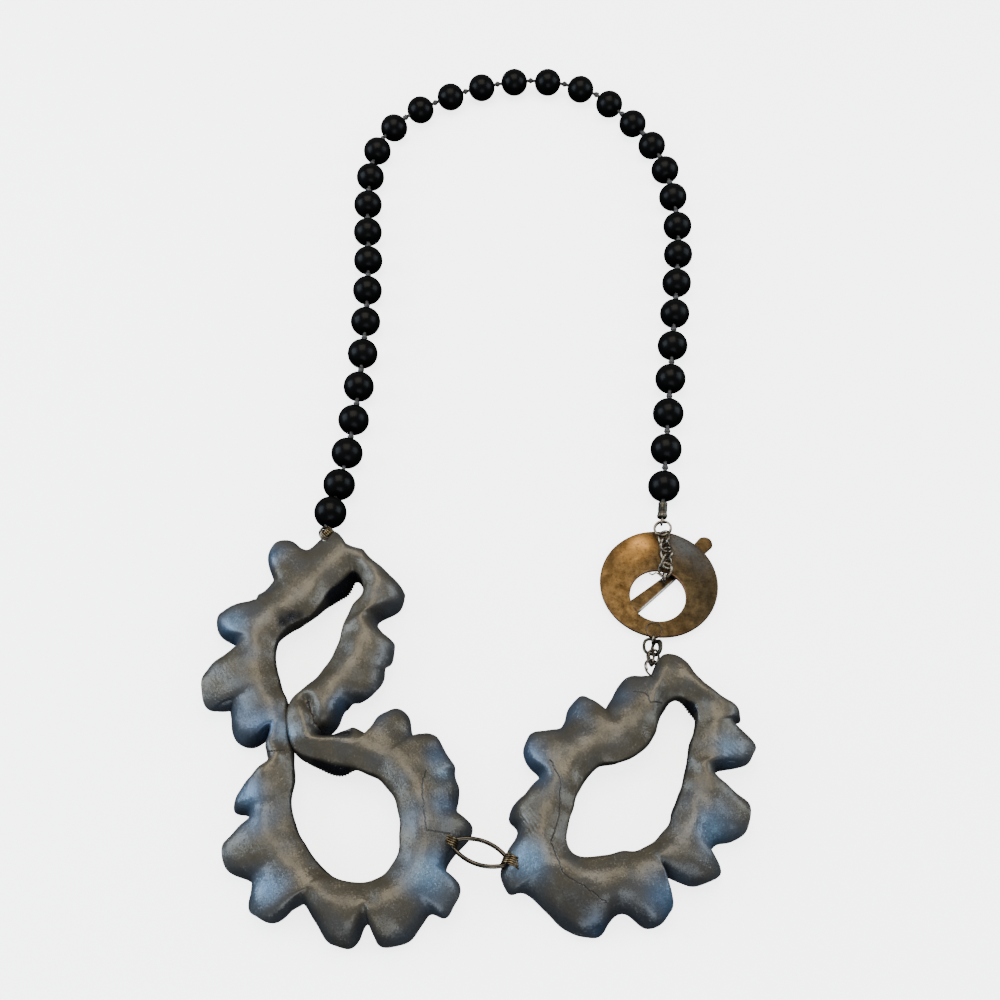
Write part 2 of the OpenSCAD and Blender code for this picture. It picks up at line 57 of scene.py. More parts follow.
def put(name, data, place=(0, 0, 0), aimed=False):
    """A new object in the scene, at a place in millimetres, turned to the necklace if aimed."""
    made = bpy.data.objects.new(name, data)
    made.location = Vector(place) * MM
    if aimed:
        made.rotation_euler = (looks_at - made.location).to_track_quat("-Z", "Y").to_euler()
    bpy.context.scene.collection.objects.link(made)
    return made


lens = bpy.data.cameras.new("over_the_table")
lens.lens, lens.sensor_width = 45.92, 36.0
camera = put("over_the_table", lens, (7.5, -230.5, 345.9), aimed=True)
bpy.context.scene.camera = camera
print("camera is", round((looks_at - camera.location).length / MM), "mm from the necklace")

# %% [markdown]
# Materials are small networks of nodes. Building each by hand takes many lines, so one helper
# adds a node, sets its fields and plugs in its sockets. A socket is given either a plain value or
# the output of another node, and the helper sees which it is. The short helpers after it stand
# for nodes that come up again and again. A value that is the same all over goes on the
# shader's own socket.

# %% Helpers that add and wire nodes
def fill(tree, made, sockets):
    """Give each socket of a node a plain value, or link it to the output of another node."""
    for name, value in sockets.items():
        if isinstance(value, bpy.types.NodeSocket):
            tree.links.new(value, made.inputs[name])
        else:
            made.inputs[name].default_value = value


def add(tree, kind, sockets=None, out=0, **fields):
    """Add a node of that kind to the tree, set its fields and sockets, and return one output."""
    made = tree.nodes.new("ShaderNode" + kind)
    for field, value in fields.items():
        setattr(made, field, value)
    fill(tree, made, sockets or {})
    return made.outputs[out]


def new_finish(name):
    """A new material, its tree and its main shader."""
    finish = bpy.data.materials.new(name)
    finish.use_nodes = True
    return finish, finish.node_tree, finish.node_tree.nodes["Principled BSDF"]


def mix_colour(tree, factor, a, b):
    """Colour a to colour b by a factor."""
    return add(tree, "Mix", {0: factor, 6: a, 7: b}, 2, data_type="RGBA")


def spread(tree, value, low, high, to_low=0, to_high=1):
    """Map the range from low to high onto another one, and hold what lies outside."""
    ends = {"From Min": low, "From Max": high, "To Min": to_low, "To Max": to_high}
    return add(tree, "MapRange", {"Value": value, **ends})


def noise(tree, place, scale, detail, rough=0.5, out="Fac"):
    """Cloudy noise, finer the larger its scale."""
    return add(tree, "TexNoise", {"Vector": place, "Scale": scale, "Detail": detail, "Roughness": rough}, out)


def bump(tree, height, strength, distance, under=None, **fields):
    """Relief from a height, which may lie on top of another relief."""
    below = {} if under is None else {"Normal": under}
    return add(tree, "Bump", {"Height": height, "Strength": strength, "Distance": distance, **below}, **fields)


# %% [markdown]
# The table is a plain pale sheet. It could be white paper or nothing at all, because the
# photograph has no background, but a real surface gives the necklace its soft contact shadows.
# It glows a little, so that the ground comes out near white without lamps that burn out the
# metal. Only the camera sees it: a white sheet would throw light up under the frills and
# into the black beads, and the real ones are dark there.

# %% The pale table
half_side = 3.0
table_mesh = bpy.data.meshes.new("table")
table_corners = half_side * np.array([(-1, -1, 0), (1, -1, 0), (1, 1, 0), (-1, 1, 0)])
table_mesh.from_pydata(table_corners.tolist(), [], [(0, 1, 2, 3)])
table = put("table", table_mesh)
paper, tree, shader = new_finish("white_paper")
fill(tree, shader, {
    "Base Color": (0.93, 0.93, 0.93, 1), "Roughness": 0.9, "Specular IOR Level": 0.1,
    "Emission Color": (1, 1, 1, 1), "Emission Strength": 3.4,
})
table_mesh.materials.append(paper)
table.visible_diffuse = table.visible_glossy = False
print("table:", 2 * half_side, "m wide")

# %% [markdown]
# The light is soft. The room is pale above the table and dark below it, so that hollows go dark.
# A warm sheet of light hangs over the necklace, and cooler ones stand to the left, to the right
# and in front, as windows do. Small hard lamps would make harsh dots on the beads. Large weak
# sheets give the dim glints that the photograph shows.

# %% Soft lights
room = bpy.data.worlds.new("pale_room")
room.use_nodes = True
tree = room.node_tree
upward = add(tree, "SeparateXYZ", {0: add(tree, "TexCoord", out="Generated")}, 2)
air = mix_colour(tree, spread(tree, upward, -0.3, -0.02), (0.08, 0.08, 0.085, 1), (0.93, 0.96, 1, 1))
fill(tree, tree.nodes["Background"], {"Color": air, "Strength": 0.34})
bpy.context.scene.world = room

# Columns: name, place in millimetres, size in metres, power in watts, colour.
lamp_rows = [
    ("warm_sheet", (-20, 170, 640), 0.5, 5.6, (1.0, 0.93, 0.8)),
    ("window", (-620, 20, 330), 0.45, 6.8, (0.66, 0.82, 1.0)),
    ("right_window", (620, 60, 330), 0.45, 4.5, (0.74, 0.87, 1.0)),
    ("low_window", (60, -640, 230), 0.4, 2.2, (0.8, 0.9, 1.0)),
]
for name, place, size, power, tint in lamp_rows:
    lamp = bpy.data.lights.new(name, "AREA")
    lamp.shape, lamp.size, lamp.energy, lamp.color = "SQUARE", size, power, tint
    put(name, lamp, place, aimed=True)
print("lights:", [row[0] for row in lamp_rows])

# %% [markdown]
# Nearly every surface here is a grid of points: so many stations along the piece, and so many
# points round each station. A grid that closes on itself both ways is a ring, and one that closes
# only round is a tube, whose two ends get a cap. Blender can take a whole grid at once
# through `foreach_set`, which is much faster than adding points one at a time.

# %% From a grid of points to a mesh
def grid_faces(stations, around, ring):
    """Quads between neighbours of a grid that closes round, and also end to end if ring."""
    i, j = np.meshgrid(np.arange(stations if ring else stations - 1), np.arange(around), indexing="ij")
    k, following = (i + 1) % stations, (j + 1) % around
    quads = np.stack([i * around + j, k * around + j, k * around + following, i * around + following], -1)
    return quads.reshape(-1, 4)


def cap_faces(stations, around):
    """A fan of triangles over each end of a tube, to one extra point in the middle of each."""
    j = np.arange(around)
    following = (j + 1) % around
    first, last = stations * around, stations * around + 1
    row = (stations - 1) * around
    near = np.stack([np.full(around, first), j, following], -1)
    far = np.stack([np.full(around, last), row + following, row + j], -1)
    return np.concatenate([near, far])


def held_volume(points, quads):
    """Six times the volume inside the quads, a . (b x c) + a . (c x d): below 0 if they face inwards."""
    a, b, c, d = (points - points.mean(0))[quads.T]
    return float((a * np.cross(b, c) + a * np.cross(c, d)).sum())


def piece_from_grid(name, grid, finish, slot, replaced=(), ring=False):
    """Make a grid of points in millimetres into a smooth closed piece that rides on the frame."""
    stations, around = grid.shape[:2]
    points = grid.reshape(-1, 3)
    quads = grid_faces(stations, around, ring)
    tris = np.zeros((0, 3), int)
    if not ring:
        points = np.concatenate([points, grid[:1].mean(1), grid[-1:].mean(1)])
        tris = cap_faces(stations, around)
    if held_volume(points, quads) < 0:
        quads, tris = quads[:, ::-1], tris[:, ::-1]
    corners = np.concatenate([quads.ravel(), tris.ravel()])
    counts = np.concatenate([np.full(len(quads), 4), np.full(len(tris), 3)])
    mesh = bpy.data.meshes.new(name)
    mesh.vertices.add(len(points))
    mesh.vertices.foreach_set("co", (points * MM).astype(np.float32).ravel())
    mesh.loops.add(len(corners))
    mesh.loops.foreach_set("vertex_index", corners.astype(np.int32))
    mesh.polygons.add(len(counts))
    starts = np.concatenate([[0], np.cumsum(counts)[:-1]])
    mesh.polygons.foreach_set("loop_start", starts.astype(np.int32))
    mesh.polygons.foreach_set("use_smooth", np.ones(len(counts), bool))
    mesh.update(calc_edges=True)
    mesh.validate()
    piece = put(name, mesh)
    mesh.materials.append(finish)
    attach(piece, "root")
    if replaced:
        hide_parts(*replaced)
    return piece


def note(piece, name, values, across=1):
    """Keep a number, or a place of three numbers, for each point of a piece, for its material to read."""
    kind, field = ("FLOAT", "value") if across == 1 else ("FLOAT_VECTOR", "vector")
    marks = piece.data.attributes.new(name, kind, "POINT")
    filled = np.zeros(across * len(piece.data.vertices), np.float32)
    filled[: values.size] = values.ravel()
    marks.data.foreach_set(field, filled)


# %% [markdown]
# Two smooth curves do most of the work. One closes on itself, and one has two ends. Both are
# Catmull-Rom curves: they go through every point that they are given, so a table of places read
# from a picture can be used as it is. A Bezier curve would pass beside its handles.

# %% Smooth curves through points
def blend_four(a, b, c, d, t):
    """Cubic from b at t = 0 to c at t = 1, which leaves b towards c - a and meets c from d - b."""
    return 0.5 * (2 * b + (c - a) * t + (2 * a - 5 * b + 4 * c - d) * t**2 + (3 * b - 3 * c + d - a) * t**3)


def closed_curve(points, places):
    """The smooth ring through points, read at places counted in steps of one point."""
    here = np.floor(places).astype(int)
    t = (places - here).reshape(-1, *[1] * (points.ndim - 1))
    a, b, c, d = (points[(here + step) % len(points)] for step in (-1, 0, 1, 2))
    return blend_four(a, b, c, d, t)


def open_curve(points, places):
    """The smooth line through points. Each end is carried on by one mirrored point."""
    longer = np.concatenate([2 * points[:1] - points[1:2], points, 2 * points[-1:] - points[-2:-1]])
    here = np.minimum(np.floor(places).astype(int), len(points) - 2)
    t = (places - here).reshape(-1, *[1] * (points.ndim - 1))
    a, b, c, d = (longer[here + step] for step in (0, 1, 2, 3))
    return blend_four(a, b, c, d, t)


def unit(v):
    """Vectors of length one in the same directions."""
    return v / np.maximum(np.linalg.norm(v, axis=-1, keepdims=True), 1e-9)


# %% [markdown]
# Hand work is never quite even. Clay keeps the swells and dents of the fingers that pressed it.
# A noise texture could push the surface about, but its seams and strength are hard to foresee.
# Here a swell is a sum of plane waves that run in many directions, each with its own phase. It is
# smooth everywhere, has no seams, and is the same at every run.

# %% Swells from plane waves
def swell(points, wavelength, seed, waves=14):
    """Sum of sine waves along random directions, about -1 to 1, with crests a wavelength apart."""
    dice = np.random.default_rng(seed)
    ways = unit(dice.normal(size=(waves, 3))) * dice.uniform(0.75, 1.3, (waves, 1))
    phases = dice.uniform(0, 2 * np.pi, waves)
    turns = np.tensordot(points, ways.T, axes=1) * (2 * np.pi / wavelength) + phases
    return np.sin(turns).sum(-1) / np.sqrt(waves)


def grid_normals(grid):
    """Outward directions of a closed grid, from the cross product of its two directions."""
    along = np.roll(grid, -1, 0) - np.roll(grid, 1, 0)
    around = np.roll(grid, -1, 1) - np.roll(grid, 1, 1)
    return unit(np.cross(along, around))


# %% [markdown]
# Each frilled form is one thin wall of clay that runs round an eye: up its inner side, over a
# broad crown, and down to a rim that waves in and out like a ruffle. A sculptor would drape a
# sheet and pinch it. Here the wall is a section carried round the eye. The tables hold one row
# for each outward fold and for each dip between two folds. Its columns are the eye's edge (x, y and
# the height of its top), the foot of the inner wall, how far that foot reaches into the eye, and
# then the rim (x, y, height) and half the width of the fold there.

# %% The folds of the single form
single_folds = np.array([
    [57.5, -96, 10, 6, 0, 57, -81, 4.5, 3.6],
    [53.5, -99, 10, 5, 1, 50.5, -88.5, 3.5, 0.6],
    [50.5, -106.5, 10, 6, 0, 43.5, -88, 4.5, 5],
    [45.5, -112.5, 10, 6, 0, 37, -97.5, 2, 1],
    [40, -115, 10, 6, 0, 30, -94.5, 7, 3.4],
    [34.5, -116, 10, 6, 0, 24, -102.5, 1.5, 1.6],
    [31, -119.5, 10, 6, 0, 14.5, -108, 7, 4.6],
    [28.5, -124, 10, 6, 0, 18, -117.5, 1.5, 1.2],
    [27, -129, 10, 6, 0, 10, -126, 2.5, 3.2],
    [26, -134, 10, 6, 0, 12, -133, 1.5, 1.6],
    [26, -138, 10, 6, 0, 7.5, -145.5, 6.5, 4.4],
    [28.5, -140, 10, 6, 0, 15.5, -150, 2, 2.8],
    [33, -140.5, 10, 6, 0, 28.5, -160, 3.5, 5.6],
    [38.5, -139.5, 10, 6, 0, 39, -154.5, 3, 2],
    [44, -138.5, 10, 6, 0, 50.5, -156, 6, 5.2],
    [47.5, -136.5, 10, 6, 0, 51, -144.5, 3, 0.4],
    [51.5, -133, 10, 6, 0, 63, -146.5, 6, 5],
    [54, -129, 10, 6, 0, 65, -137, 2, 1.6],
    [56, -123, 10, 6, 0, 75, -129, 8.5, 5.4],
    [58, -116.5, 10, 6, 0, 67, -117, 2, 1.8],
    [59.5, -110.5, 10, 6, 0, 78, -112, 8.5, 4],
    [61, -106, 10, 6, 0, 74, -102.5, 4.5, 0.4],
    [62.5, -102, 10, 5, 0.5, 75, -98, 6, 3.2],
    [62, -98, 10, 3, 2, 66.5, -92, 4, 2.4],
])
print("single form:", len(single_folds) // 2, "folds")

# %% The folds of the double form
double_folds = np.array([
    [-50.5, -103.5, 11.5, 7, 0, -38, -102.5, 1.5, 4.8],
    [-50, -95.5, 11, 7, 0, -34, -96.5, 4.5, 0.6],
    [-45, -89.5, 10, 6, 0, -28, -93, 7, 4.4],
    [-41.5, -84.5, 10, 6, 0, -25, -86.5, 7, 0.6],
    [-39.5, -79.5, 10, 6, 0, -23, -79.5, 7, 3.6],
    [-38.5, -74.5, 10, 6, 0, -28.5, -70.5, 2, 1.4],
    [-36.5, -68, 10, 6, 0, -21, -63, 4.5, 3.2],
    [-33.5, -63, 10, 6, 0, -26.5, -55, 3.5, 2],
    [-34, -59, 10, 5, 0, -33, -48, 4.5, 2],
    [-36, -56.5, 10, 3, 1.5, -39, -46, 4.5, 0.6],
    [-38.5, -58.5, 10, 2, 3, -43.5, -41, 7, 2],
    [-42.5, -63, 10, 3, 1.5, -51, -46, 3.5, 1],
    [-46.5, -70, 10, 6, 0, -60.5, -46, 8.5, 4.8],
    [-50.5, -72.5, 10, 5, 0.5, -61, -56.5, 2.5, 1.2],
    [-53, -74, 10, 5, 0.5, -65, -61.5, 3.5, 1.6],
    [-54.5, -75.5, 10, 5, 0.5, -67, -63.5, 2.5, 0.6],
    [-56, -78, 10, 6, 0, -75.5, -70, 7, 4.8],
    [-56.5, -80.5, 10, 6, 0, -70, -78.5, 1.5, 1.4],
    [-56, -86, 10, 6, 0, -77.5, -92, 9, 6.8],
    [-54.5, -91.5, 10, 6, 0, -70, -98, 2.5, 0.6],
    [-52.5, -96, 11, 7, 0, -65.5, -107.5, 3.5, 3.8],
    [-51, -101.5, 11.5, 7, 0, -57.5, -106, 2, 0.4],
    [-50.5, -107.5, 11.5, 7, 0, -58, -110.5, 3.5, 1.6],
    [-49, -112.5, 10.5, 6, 0, -57, -115, 2, 1],
    [-48.5, -119.5, 10, 6, 0, -65.5, -123.5, 4.5, 3.4],
    [-48.5, -126, 10, 6, 0, -61, -129, 1.5, 1.4],
    [-46, -133.5, 10, 6, 0, -66.5, -139.5, 8.5, 4.8],
    [-43.5, -138, 10, 6, 0, -59, -146, 2, 1],
    [-40, -142.5, 10, 6, 0, -55.5, -156, 7, 4.2],
    [-36.5, -145, 10, 6, 0, -44.5, -152.5, 3.5, 1.2],
    [-32.5, -146.5, 10, 6, 0, -34.5, -162.5, 3.5, 4],
    [-29, -147, 10, 6, 0, -27, -157, 3.5, 0.8],
    [-25.5, -146.5, 10, 6, 0, -20, -162.5, 3.5, 4.4],
    [-22.5, -144.5, 10, 6, 0, -11, -155, 3.5, 1.2],
    [-20.5, -141.5, 10, 6, 0, -3.5, -151.5, 7.5, 5],
    [-19.5, -138, 10, 6, 0, -6.5, -142, 1.5, 1.8],
    [-19.5, -133.5, 10, 6, 0, 0, -132.5, 2, 2.6],
    [-20, -129, 10, 6, 0, -4, -127, 3.5, 0.8],
    [-21, -125.5, 10, 6, 0, -3.5, -120.5, 4.5, 3.6],
    [-23, -122.5, 10, 6, 0, -5.5, -114.5, 4.5, 0.8],
    [-25.5, -119.5, 10, 6, 0, -10.5, -106, 7, 4],
    [-28.5, -118, 10, 6, 0, -16.5, -105.5, 3.5, 0.4],
    [-32, -116.5, 10, 6, 0, -22, -98.5, 6, 3.8],
    [-35.5, -116, 10, 4, 2, -29.5, -105, 4, 0.6],
    [-40.5, -115, 10, 3, 2, -33, -103.5, 6, 2],
    [-47.5, -112.5, 10.5, 6, 0, -42.5, -106.5, 6, 0.6],
])
print("double form:", len(double_folds) // 2, "folds")

# %% [markdown]
# A fold needs more than its tip. Its two shoulders lie lower than the tip and a little further in,
# and the dip that follows has two points as well, so that it is as broad as the table says.
# That makes five rim points for each fold, and one smooth closed curve goes through them all.

# %% The rim and the eye's edge
stations_per_step = 12
# Where along the eye's edge each rim point of a fold starts, as a share of the fold.
eye_share = [0, 0.17, 0.40, 0.60, 0.83, 1.0]


def rim_points(folds):
    """Five points for each fold: tip, far shoulder, both sides of the dip, next near shoulder."""
    place, height, half = folds[:, 5:7], folds[:, 7:8], folds[:, 8:9]
    along = unit(np.roll(place, -1, 0) - np.roll(place, 1, 0))
    out = np.stack([along[:, 1], -along[:, 0]], -1)
    low = np.maximum(height - 3, np.minimum(1.6, height))
    pulled_in = 0.3 * half * out
    ahead = np.concatenate([place + along * half - pulled_in, low], -1)[0::2]
    behind = np.concatenate([place - along * half - pulled_in, low], -1)[0::2]
    tips = np.concatenate([place, height], -1)[0::2]
    dip_in = np.concatenate([place - along * half, height], -1)[1::2]
    dip_out = np.concatenate([place + along * half, height], -1)[1::2]
    return np.stack([tips, ahead, dip_in, dip_out, np.roll(behind, -1, 0)], 1).reshape(-1, 3)


def table_places(folds):
    """Stations round the ring: in steps of one rim point, and in rows of the table."""
    places = np.arange(5 * len(folds) // 2 * stations_per_step) / stations_per_step
    fold = np.floor(places / 5)
    return places, 2 * (fold + np.interp(places - 5 * fold, range(6), eye_share))


def rim_and_edge(folds):
    """The rim and the eye's edge at matching places. The edge keeps its five columns."""
    places, rows = table_places(folds)
    return closed_curve(rim_points(folds), places), closed_curve(folds[:, :5], rows)


print("stations round the single form:", len(rim_and_edge(single_folds)[0]))

# %% [markdown]
# The section is a line of eight points in a plane that stands on the table: from the foot of
# the inner wall, over the eye's edge and the crown, to the rim. A smooth curve is drawn through
# them, and its bends are eased by averaging each point with its neighbours. Thumbs ran along the
# crown, so its height is evened out round the ring as well, and the frills only begin below
# it. The inner side of the wall follows at the wall's thickness, measured square to the
# outer one, and a short round lip joins the two at the rim.

# %% The section of the wall
rows_over, rows_lip, rows_under = 40, 5, 20
crown_width, crest_height, wall_thickness = 7.0, 13.0, 2.0
# The whole wall sinks by this much, until its lowest parts lie on the table.
settle = 0.8
# Blurs along the ring, in stations: of the rim, of the crown's height and of the wall's sides.
rim_blur, crown_blur, side_blur = 3.2, 16, 2.6
rounds_of_easing, lip_bulge = 10, 0.35


def section_points(edge, rim):
    """Distance from the eye's edge and height of eight points of the upper side, for all stations."""
    way = rim[:, :2] - edge[:, :2]
    reach = np.linalg.norm(way, axis=1)
    top, foot, toe, low = edge[:, 2], edge[:, 3], edge[:, 4], rim[:, 2]
    crown = np.minimum(crown_width, 0.55 * reach)
    fullness = np.clip(1.18 - 0.027 * reach, 0.54, 0.92)
    middle = crown + (reach - crown) * 0.64
    middle_z = low + (crest_height - low) * fullness
    still = np.zeros_like(reach)
    distance = [0.7 - toe, 0.1 - 0.45 * toe, still + 0.4, still + 2.0, crown, middle,
                middle + (reach - middle) * 0.72, reach]
    height = [foot, foot + (top - foot) * 0.4, top - 0.5, top + 0.7, still + crest_height, middle_z,
              low + (middle_z - low) * 0.56, low]
    return np.stack([np.stack(distance), np.stack(height)], -1), unit(way), reach


def even_out(values, width):
    """Blur values round the ring by a bell curve that many stations wide, as a product of waves."""
    wave = np.fft.rfftfreq(len(values))[:, None]
    bell = np.exp(-2 * (np.pi * wave * width) ** 2)
    return np.fft.irfft(np.fft.rfft(values, axis=0) * bell, len(values), axis=0)


def frill_grid(folds):
    """Points of the whole wall: stations round the eye, by rows round the section."""
    rim, edge = rim_and_edge(folds)
    rim = even_out(rim, rim_blur)
    over, way, reach = section_points(edge, rim)
    slope = np.gradient(over, axis=0)
    square = unit(np.stack([-slope[..., 1], slope[..., 0]], -1))
    thick = np.minimum(wall_thickness, 0.2 * reach)[None, :, None]
    foot_inside = np.stack([2.4 - edge[:, 4], edge[:, 3] + 0.3], -1)[None]
    under = np.concatenate([foot_inside, (over - square * thick)[4:]])
    along_section = np.linspace(0, 7, rows_over)
    upper = open_curve(over, along_section)
    past_lip = np.clip((np.arange(1, rows_over - 1) - 11) / 4, 0.12, 1)[:, None, None]
    for _ in range(rounds_of_easing):
        upper[1:-1] += past_lip * 0.25 * (upper[:-2] - 2 * upper[1:-1] + upper[2:])
    near_crown = np.clip((7 - along_section) / 2.6, 0, 1)[:, None]
    level = even_out(upper[..., 1].T, crown_blur).T
    upper[..., 1] += near_crown * (level - upper[..., 1])
    lower = open_curve(under, np.linspace(0, len(under) - 1, rows_under))[::-1]
    turn = np.linspace(0, np.pi, rows_lip + 2)[1:-1, None, None]
    middle, half = (upper[-1] + lower[0]) / 2, (upper[-1] - lower[0]) / 2
    ahead = np.stack([half[..., 1], -half[..., 0]], -1)
    lip = middle + half * np.cos(turn) + ahead * np.sin(turn) * lip_bulge
    wall = np.concatenate([upper, lip, lower]).transpose(1, 0, 2)
    plan = edge[:, None, :2] + way[:, None] * wall[..., :1]
    grid = np.concatenate([plan, np.maximum(wall[..., 1:] - settle, 0.0)], -1)
    rows = np.arange(grid.shape[1])
    eased = np.clip((rows - 14) / 5, 0, 1) * np.clip((rows_over + 1 - rows) / 7, 0, 1)
    smooth = even_out(grid.reshape(len(grid), -1), side_blur).reshape(grid.shape)
    return grid + eased[:, None] * (smooth - grid)


single_grid, double_grid = frill_grid(single_folds), frill_grid(double_folds)
print("grids:", single_grid.shape, double_grid.shape)

# %% [markdown]
# At the waist of the double form one side laps over the other, like a tongue, and hides the seam.
# Both sides could be cut and joined. Here they only move a little: near the waist, the points of
# the right side's edge shift over and rise, and those of the left side sink. A rounded lobe swells
# out beside the tongue, and a groove is pressed along the tongue's edge.

# %% The tongue at the waist
def near_row(folds, row, width):
    """Bump of height 1 round the ring, centred on a row of the table and that many rows wide."""
    away = (table_places(folds)[1] - row + len(folds) / 2) % len(folds) - len(folds) / 2
    return np.exp(-((away / width) ** 4))[:, None]


rows_all = np.arange(double_grid.shape[1])
by_the_eye = np.clip((rows_over * 0.72 - rows_all) / (rows_over * 0.3), 0, 1)
by_the_eye = np.maximum(by_the_eye, np.clip((rows_all - rows_over - rows_lip - 4) / 12, 0, 1))[None]
tongue = near_row(double_folds, -0.15, 1.05) * by_the_eye
strap = near_row(double_folds, 21.6, 1.25) * by_the_eye
tongue_shift, tongue_rise, strap_drop = 1.7, 0.1, 1.1
double_grid[..., 0] -= tongue_shift * tongue
double_grid[..., 2] += tongue_rise * tongue - strap_drop * strap


def raise_upper(grid, height):
    """Raise the upper side of the wall by a height at each point, but nothing below the table."""
    upper_side = np.clip((rows_over + 3 - np.arange(grid.shape[1])) / 3, 0, 1)
    grid[..., 2] = np.maximum(grid[..., 2] + height * upper_side, 0)


def hill(grid, x, y, radius):
    """Soft round hill of height 1 in plan."""
    return np.exp(-((np.hypot(grid[..., 0] - x, grid[..., 1] - y) / radius) ** 3))


def groove(grid, line, width):
    """Bell curve of the distance in plan to a broken line."""
    a, b = np.array(line)[:-1], np.array(line)[1:]
    from_a, way = grid[..., None, :2] - a, b - a
    share = np.clip((from_a * way).sum(-1) / (way**2).sum(-1), 0, 1)
    away = np.linalg.norm(from_a - share[..., None] * way, axis=-1).min(-1)
    return np.exp(-((away / width) ** 2))


tongue_edge = [(-46.4, -97.5), (-45, -101), (-44, -104), (-41.5, -106.4)]
raise_upper(double_grid, 1.5 * hill(double_grid, -38.4, -99.2, 4.2))
raise_upper(double_grid, -2.6 * groove(double_grid, [*tongue_edge, (-35, -106.6)], 1.5))
print("stations moved at the waist:", int((tongue.max(1) > 0.1).sum()))

# %% [markdown]
# The clay was pressed by hand, so broad swells and small dents go over the whole wall. They fade
# where the wall stands on the table.

# %% Hand-pressed swells
def press_by_hand(grid, seed):
    """Move points along the surface's outward direction by two sizes of swell."""
    push = 0.3 * swell(grid, 17.0, seed) + 0.15 * swell(grid, 6.5, seed + 1)
    clear = np.clip(grid[..., 2] / 1.5, 0, 1)
    moved = grid + grid_normals(grid) * (push * clear)[..., None]
    moved[..., 2] = np.maximum(moved[..., 2], 0.0)
    return moved


single_grid, double_grid = press_by_hand(single_grid, 11), press_by_hand(double_grid, 23)
print("highest point:", round(float(double_grid[..., 2].max()), 2), "mm")

# %% [markdown]
# Here and there the foot of the inner wall shows in the eye as a glossy black, ribbed edge. It is
# the same wall, where it reaches into the eye. The ribs run up and down, less than a
# millimetre apart, so they are a wave along the stations, and it only acts where the foot
# reaches in. The rest of the inner wall is painted nearly as dark, as painted shade, and the
# rim's edge and the deep pit beside the tongue get painted shade as well. On the side of the eye
# that faces the middle of the necklace, the painted shade goes a little higher up the wall.

# %% Ribs on the black edges
rib_height, rib_pitch = 0.24, 0.85


def rib_the_foot(grid, folds):
    """Sine wave along the foot of the inner wall, where it reaches in, and how dark each point is: its black
    foot and painted shade.
    """
    rim, edge = rim_and_edge(folds)
    to_rim = unit(rim[:, :2] - edge[:, :2])
    faces_middle = np.clip(to_rim[:, 0] * np.sign(edge[:, 0].mean()), 0, 1)[:, None]
    foot = grid[:, 0, :2]
    run = np.cumsum(np.linalg.norm(foot - np.roll(foot, 1, 0), axis=1))[:, None]
    rows = np.arange(grid.shape[1])
    # Painted shade on the inner wall, at both ends of the section, a little higher where it faces the middle.
    inner = np.clip(10.5 + 3 * faces_middle - rows, 0, 1) + np.clip((rows - len(rows) + 8) / 3, 0, 1)
    inner = np.clip(inner, 0, 1)
    amount = np.clip(edge[:, 4:5] / 1.2, 0, 1) * inner
    fade = np.clip((9 - rows) / 3, 0, 1) * amount
    ribs = rib_height * np.sin(2 * np.pi * run / rib_pitch) * fade
    # Painted shade along the rim's edge.
    rim_edge_shade = 0.5 * np.clip(1 - np.abs(rows - rows_over - 2) / 3, 0, 1)
    return grid + grid_normals(grid) * ribs[..., None], np.maximum(amount, np.maximum(0.66 * inner, rim_edge_shade))


single_grid, single_black = rib_the_foot(single_grid, single_folds)
double_grid, double_black = rib_the_foot(double_grid, double_folds)
print("black edge on", round(float((double_black > 0.5).mean() * 100), 1), "% of the double form")

# %% [markdown]
# The clay is a satin, warm dark grey that looks like pewter. Its outer slopes and hollows are slate
# blue, partly the pearly powder's own tint and partly painted reflection of the cool windows, and the
# crowns are brownish. The colour could be painted, but it follows the shape. So a number is worked out
# for every point, from how steep it is and from some listed patches, and the material mixes its colours by it.

# %% Where the blue, the painted shade and glints, and the finger prints lie
def patches(grid, spots):
    """Sum of round soft spots in plan, each given as x, y, radius and strength."""
    x, y, radius, strength = np.array(spots).T
    away = np.hypot(grid[..., 0, None] - x, grid[..., 1, None] - y)
    return (strength * np.exp(-((away / radius) ** 2))).sum(-1)


single_blue = [
    (17, -113, 5, 0.7), (15, -142, 4.5, 1.2), (70, -112, 4, 0.8), (64, -133, 6, 0.9), (50, -151, 6, 1.1),
    (33, -158, 4, 0.7), (42, -95, 4, 0.5), (28, -99, 4, 0.6), (19, -120, 3, 0.6), (58, -125, 4, 0.3),
]
double_blue = [
    (-60, -124, 4, 0.9), (-57, -131, 5, 0.8), (-53, -149, 5, 0.9), (-11, -146, 6, 1.3), (-10, -113, 3, 0.8),
    (-7, -127, 3, 0.7), (-70, -74, 5, 0.9), (-60, -50, 4, 0.8), (-56, -105, 4, 1.0), (-62, -104, 5, 0.6),
    (-66, -99, 5, 0.4), (-14, -131, 4, 0.6), (-27, -100, 4, 0.5), (-64, -84, 3, 0.4), (-37.5, -99, 3, 0.7),
]
# Painted glints: spots where flakes are mixed towards light blue.
pearl_glint_places = [
    (-11, -145.5, 4, 0.9), (15, -142, 4, 1.0), (-61, -125, 3, 0.6), (-53.5, -149, 3.4, 0.6), (52, -151, 3, 0.5),
    (64, -134, 3.2, 0.8), (-50.8, -107, 2.4, 0.7), (-70, -73, 3, 0.5), (-8, -118, 2.6, 0.6), (70, -111, 3, 0.5),
]
# Painted shade in the deep pit beside the tongue, and at the foot by the curl partly its own glossy black and
# partly painted shade.
pit_shade = [
    (-38.6, -100.2, 2.8, 0.4),
    (-42, -106.6, 1.7, 0.8), (-38.6, -107, 2, 1.0), (-35, -106.8, 1.8, 0.9), (-55.6, -73.4, 1.7, 1.0),
    (-53, -71.8, 1.7, 1.0), (-50.6, -70.9, 1.3, 0.7),
]
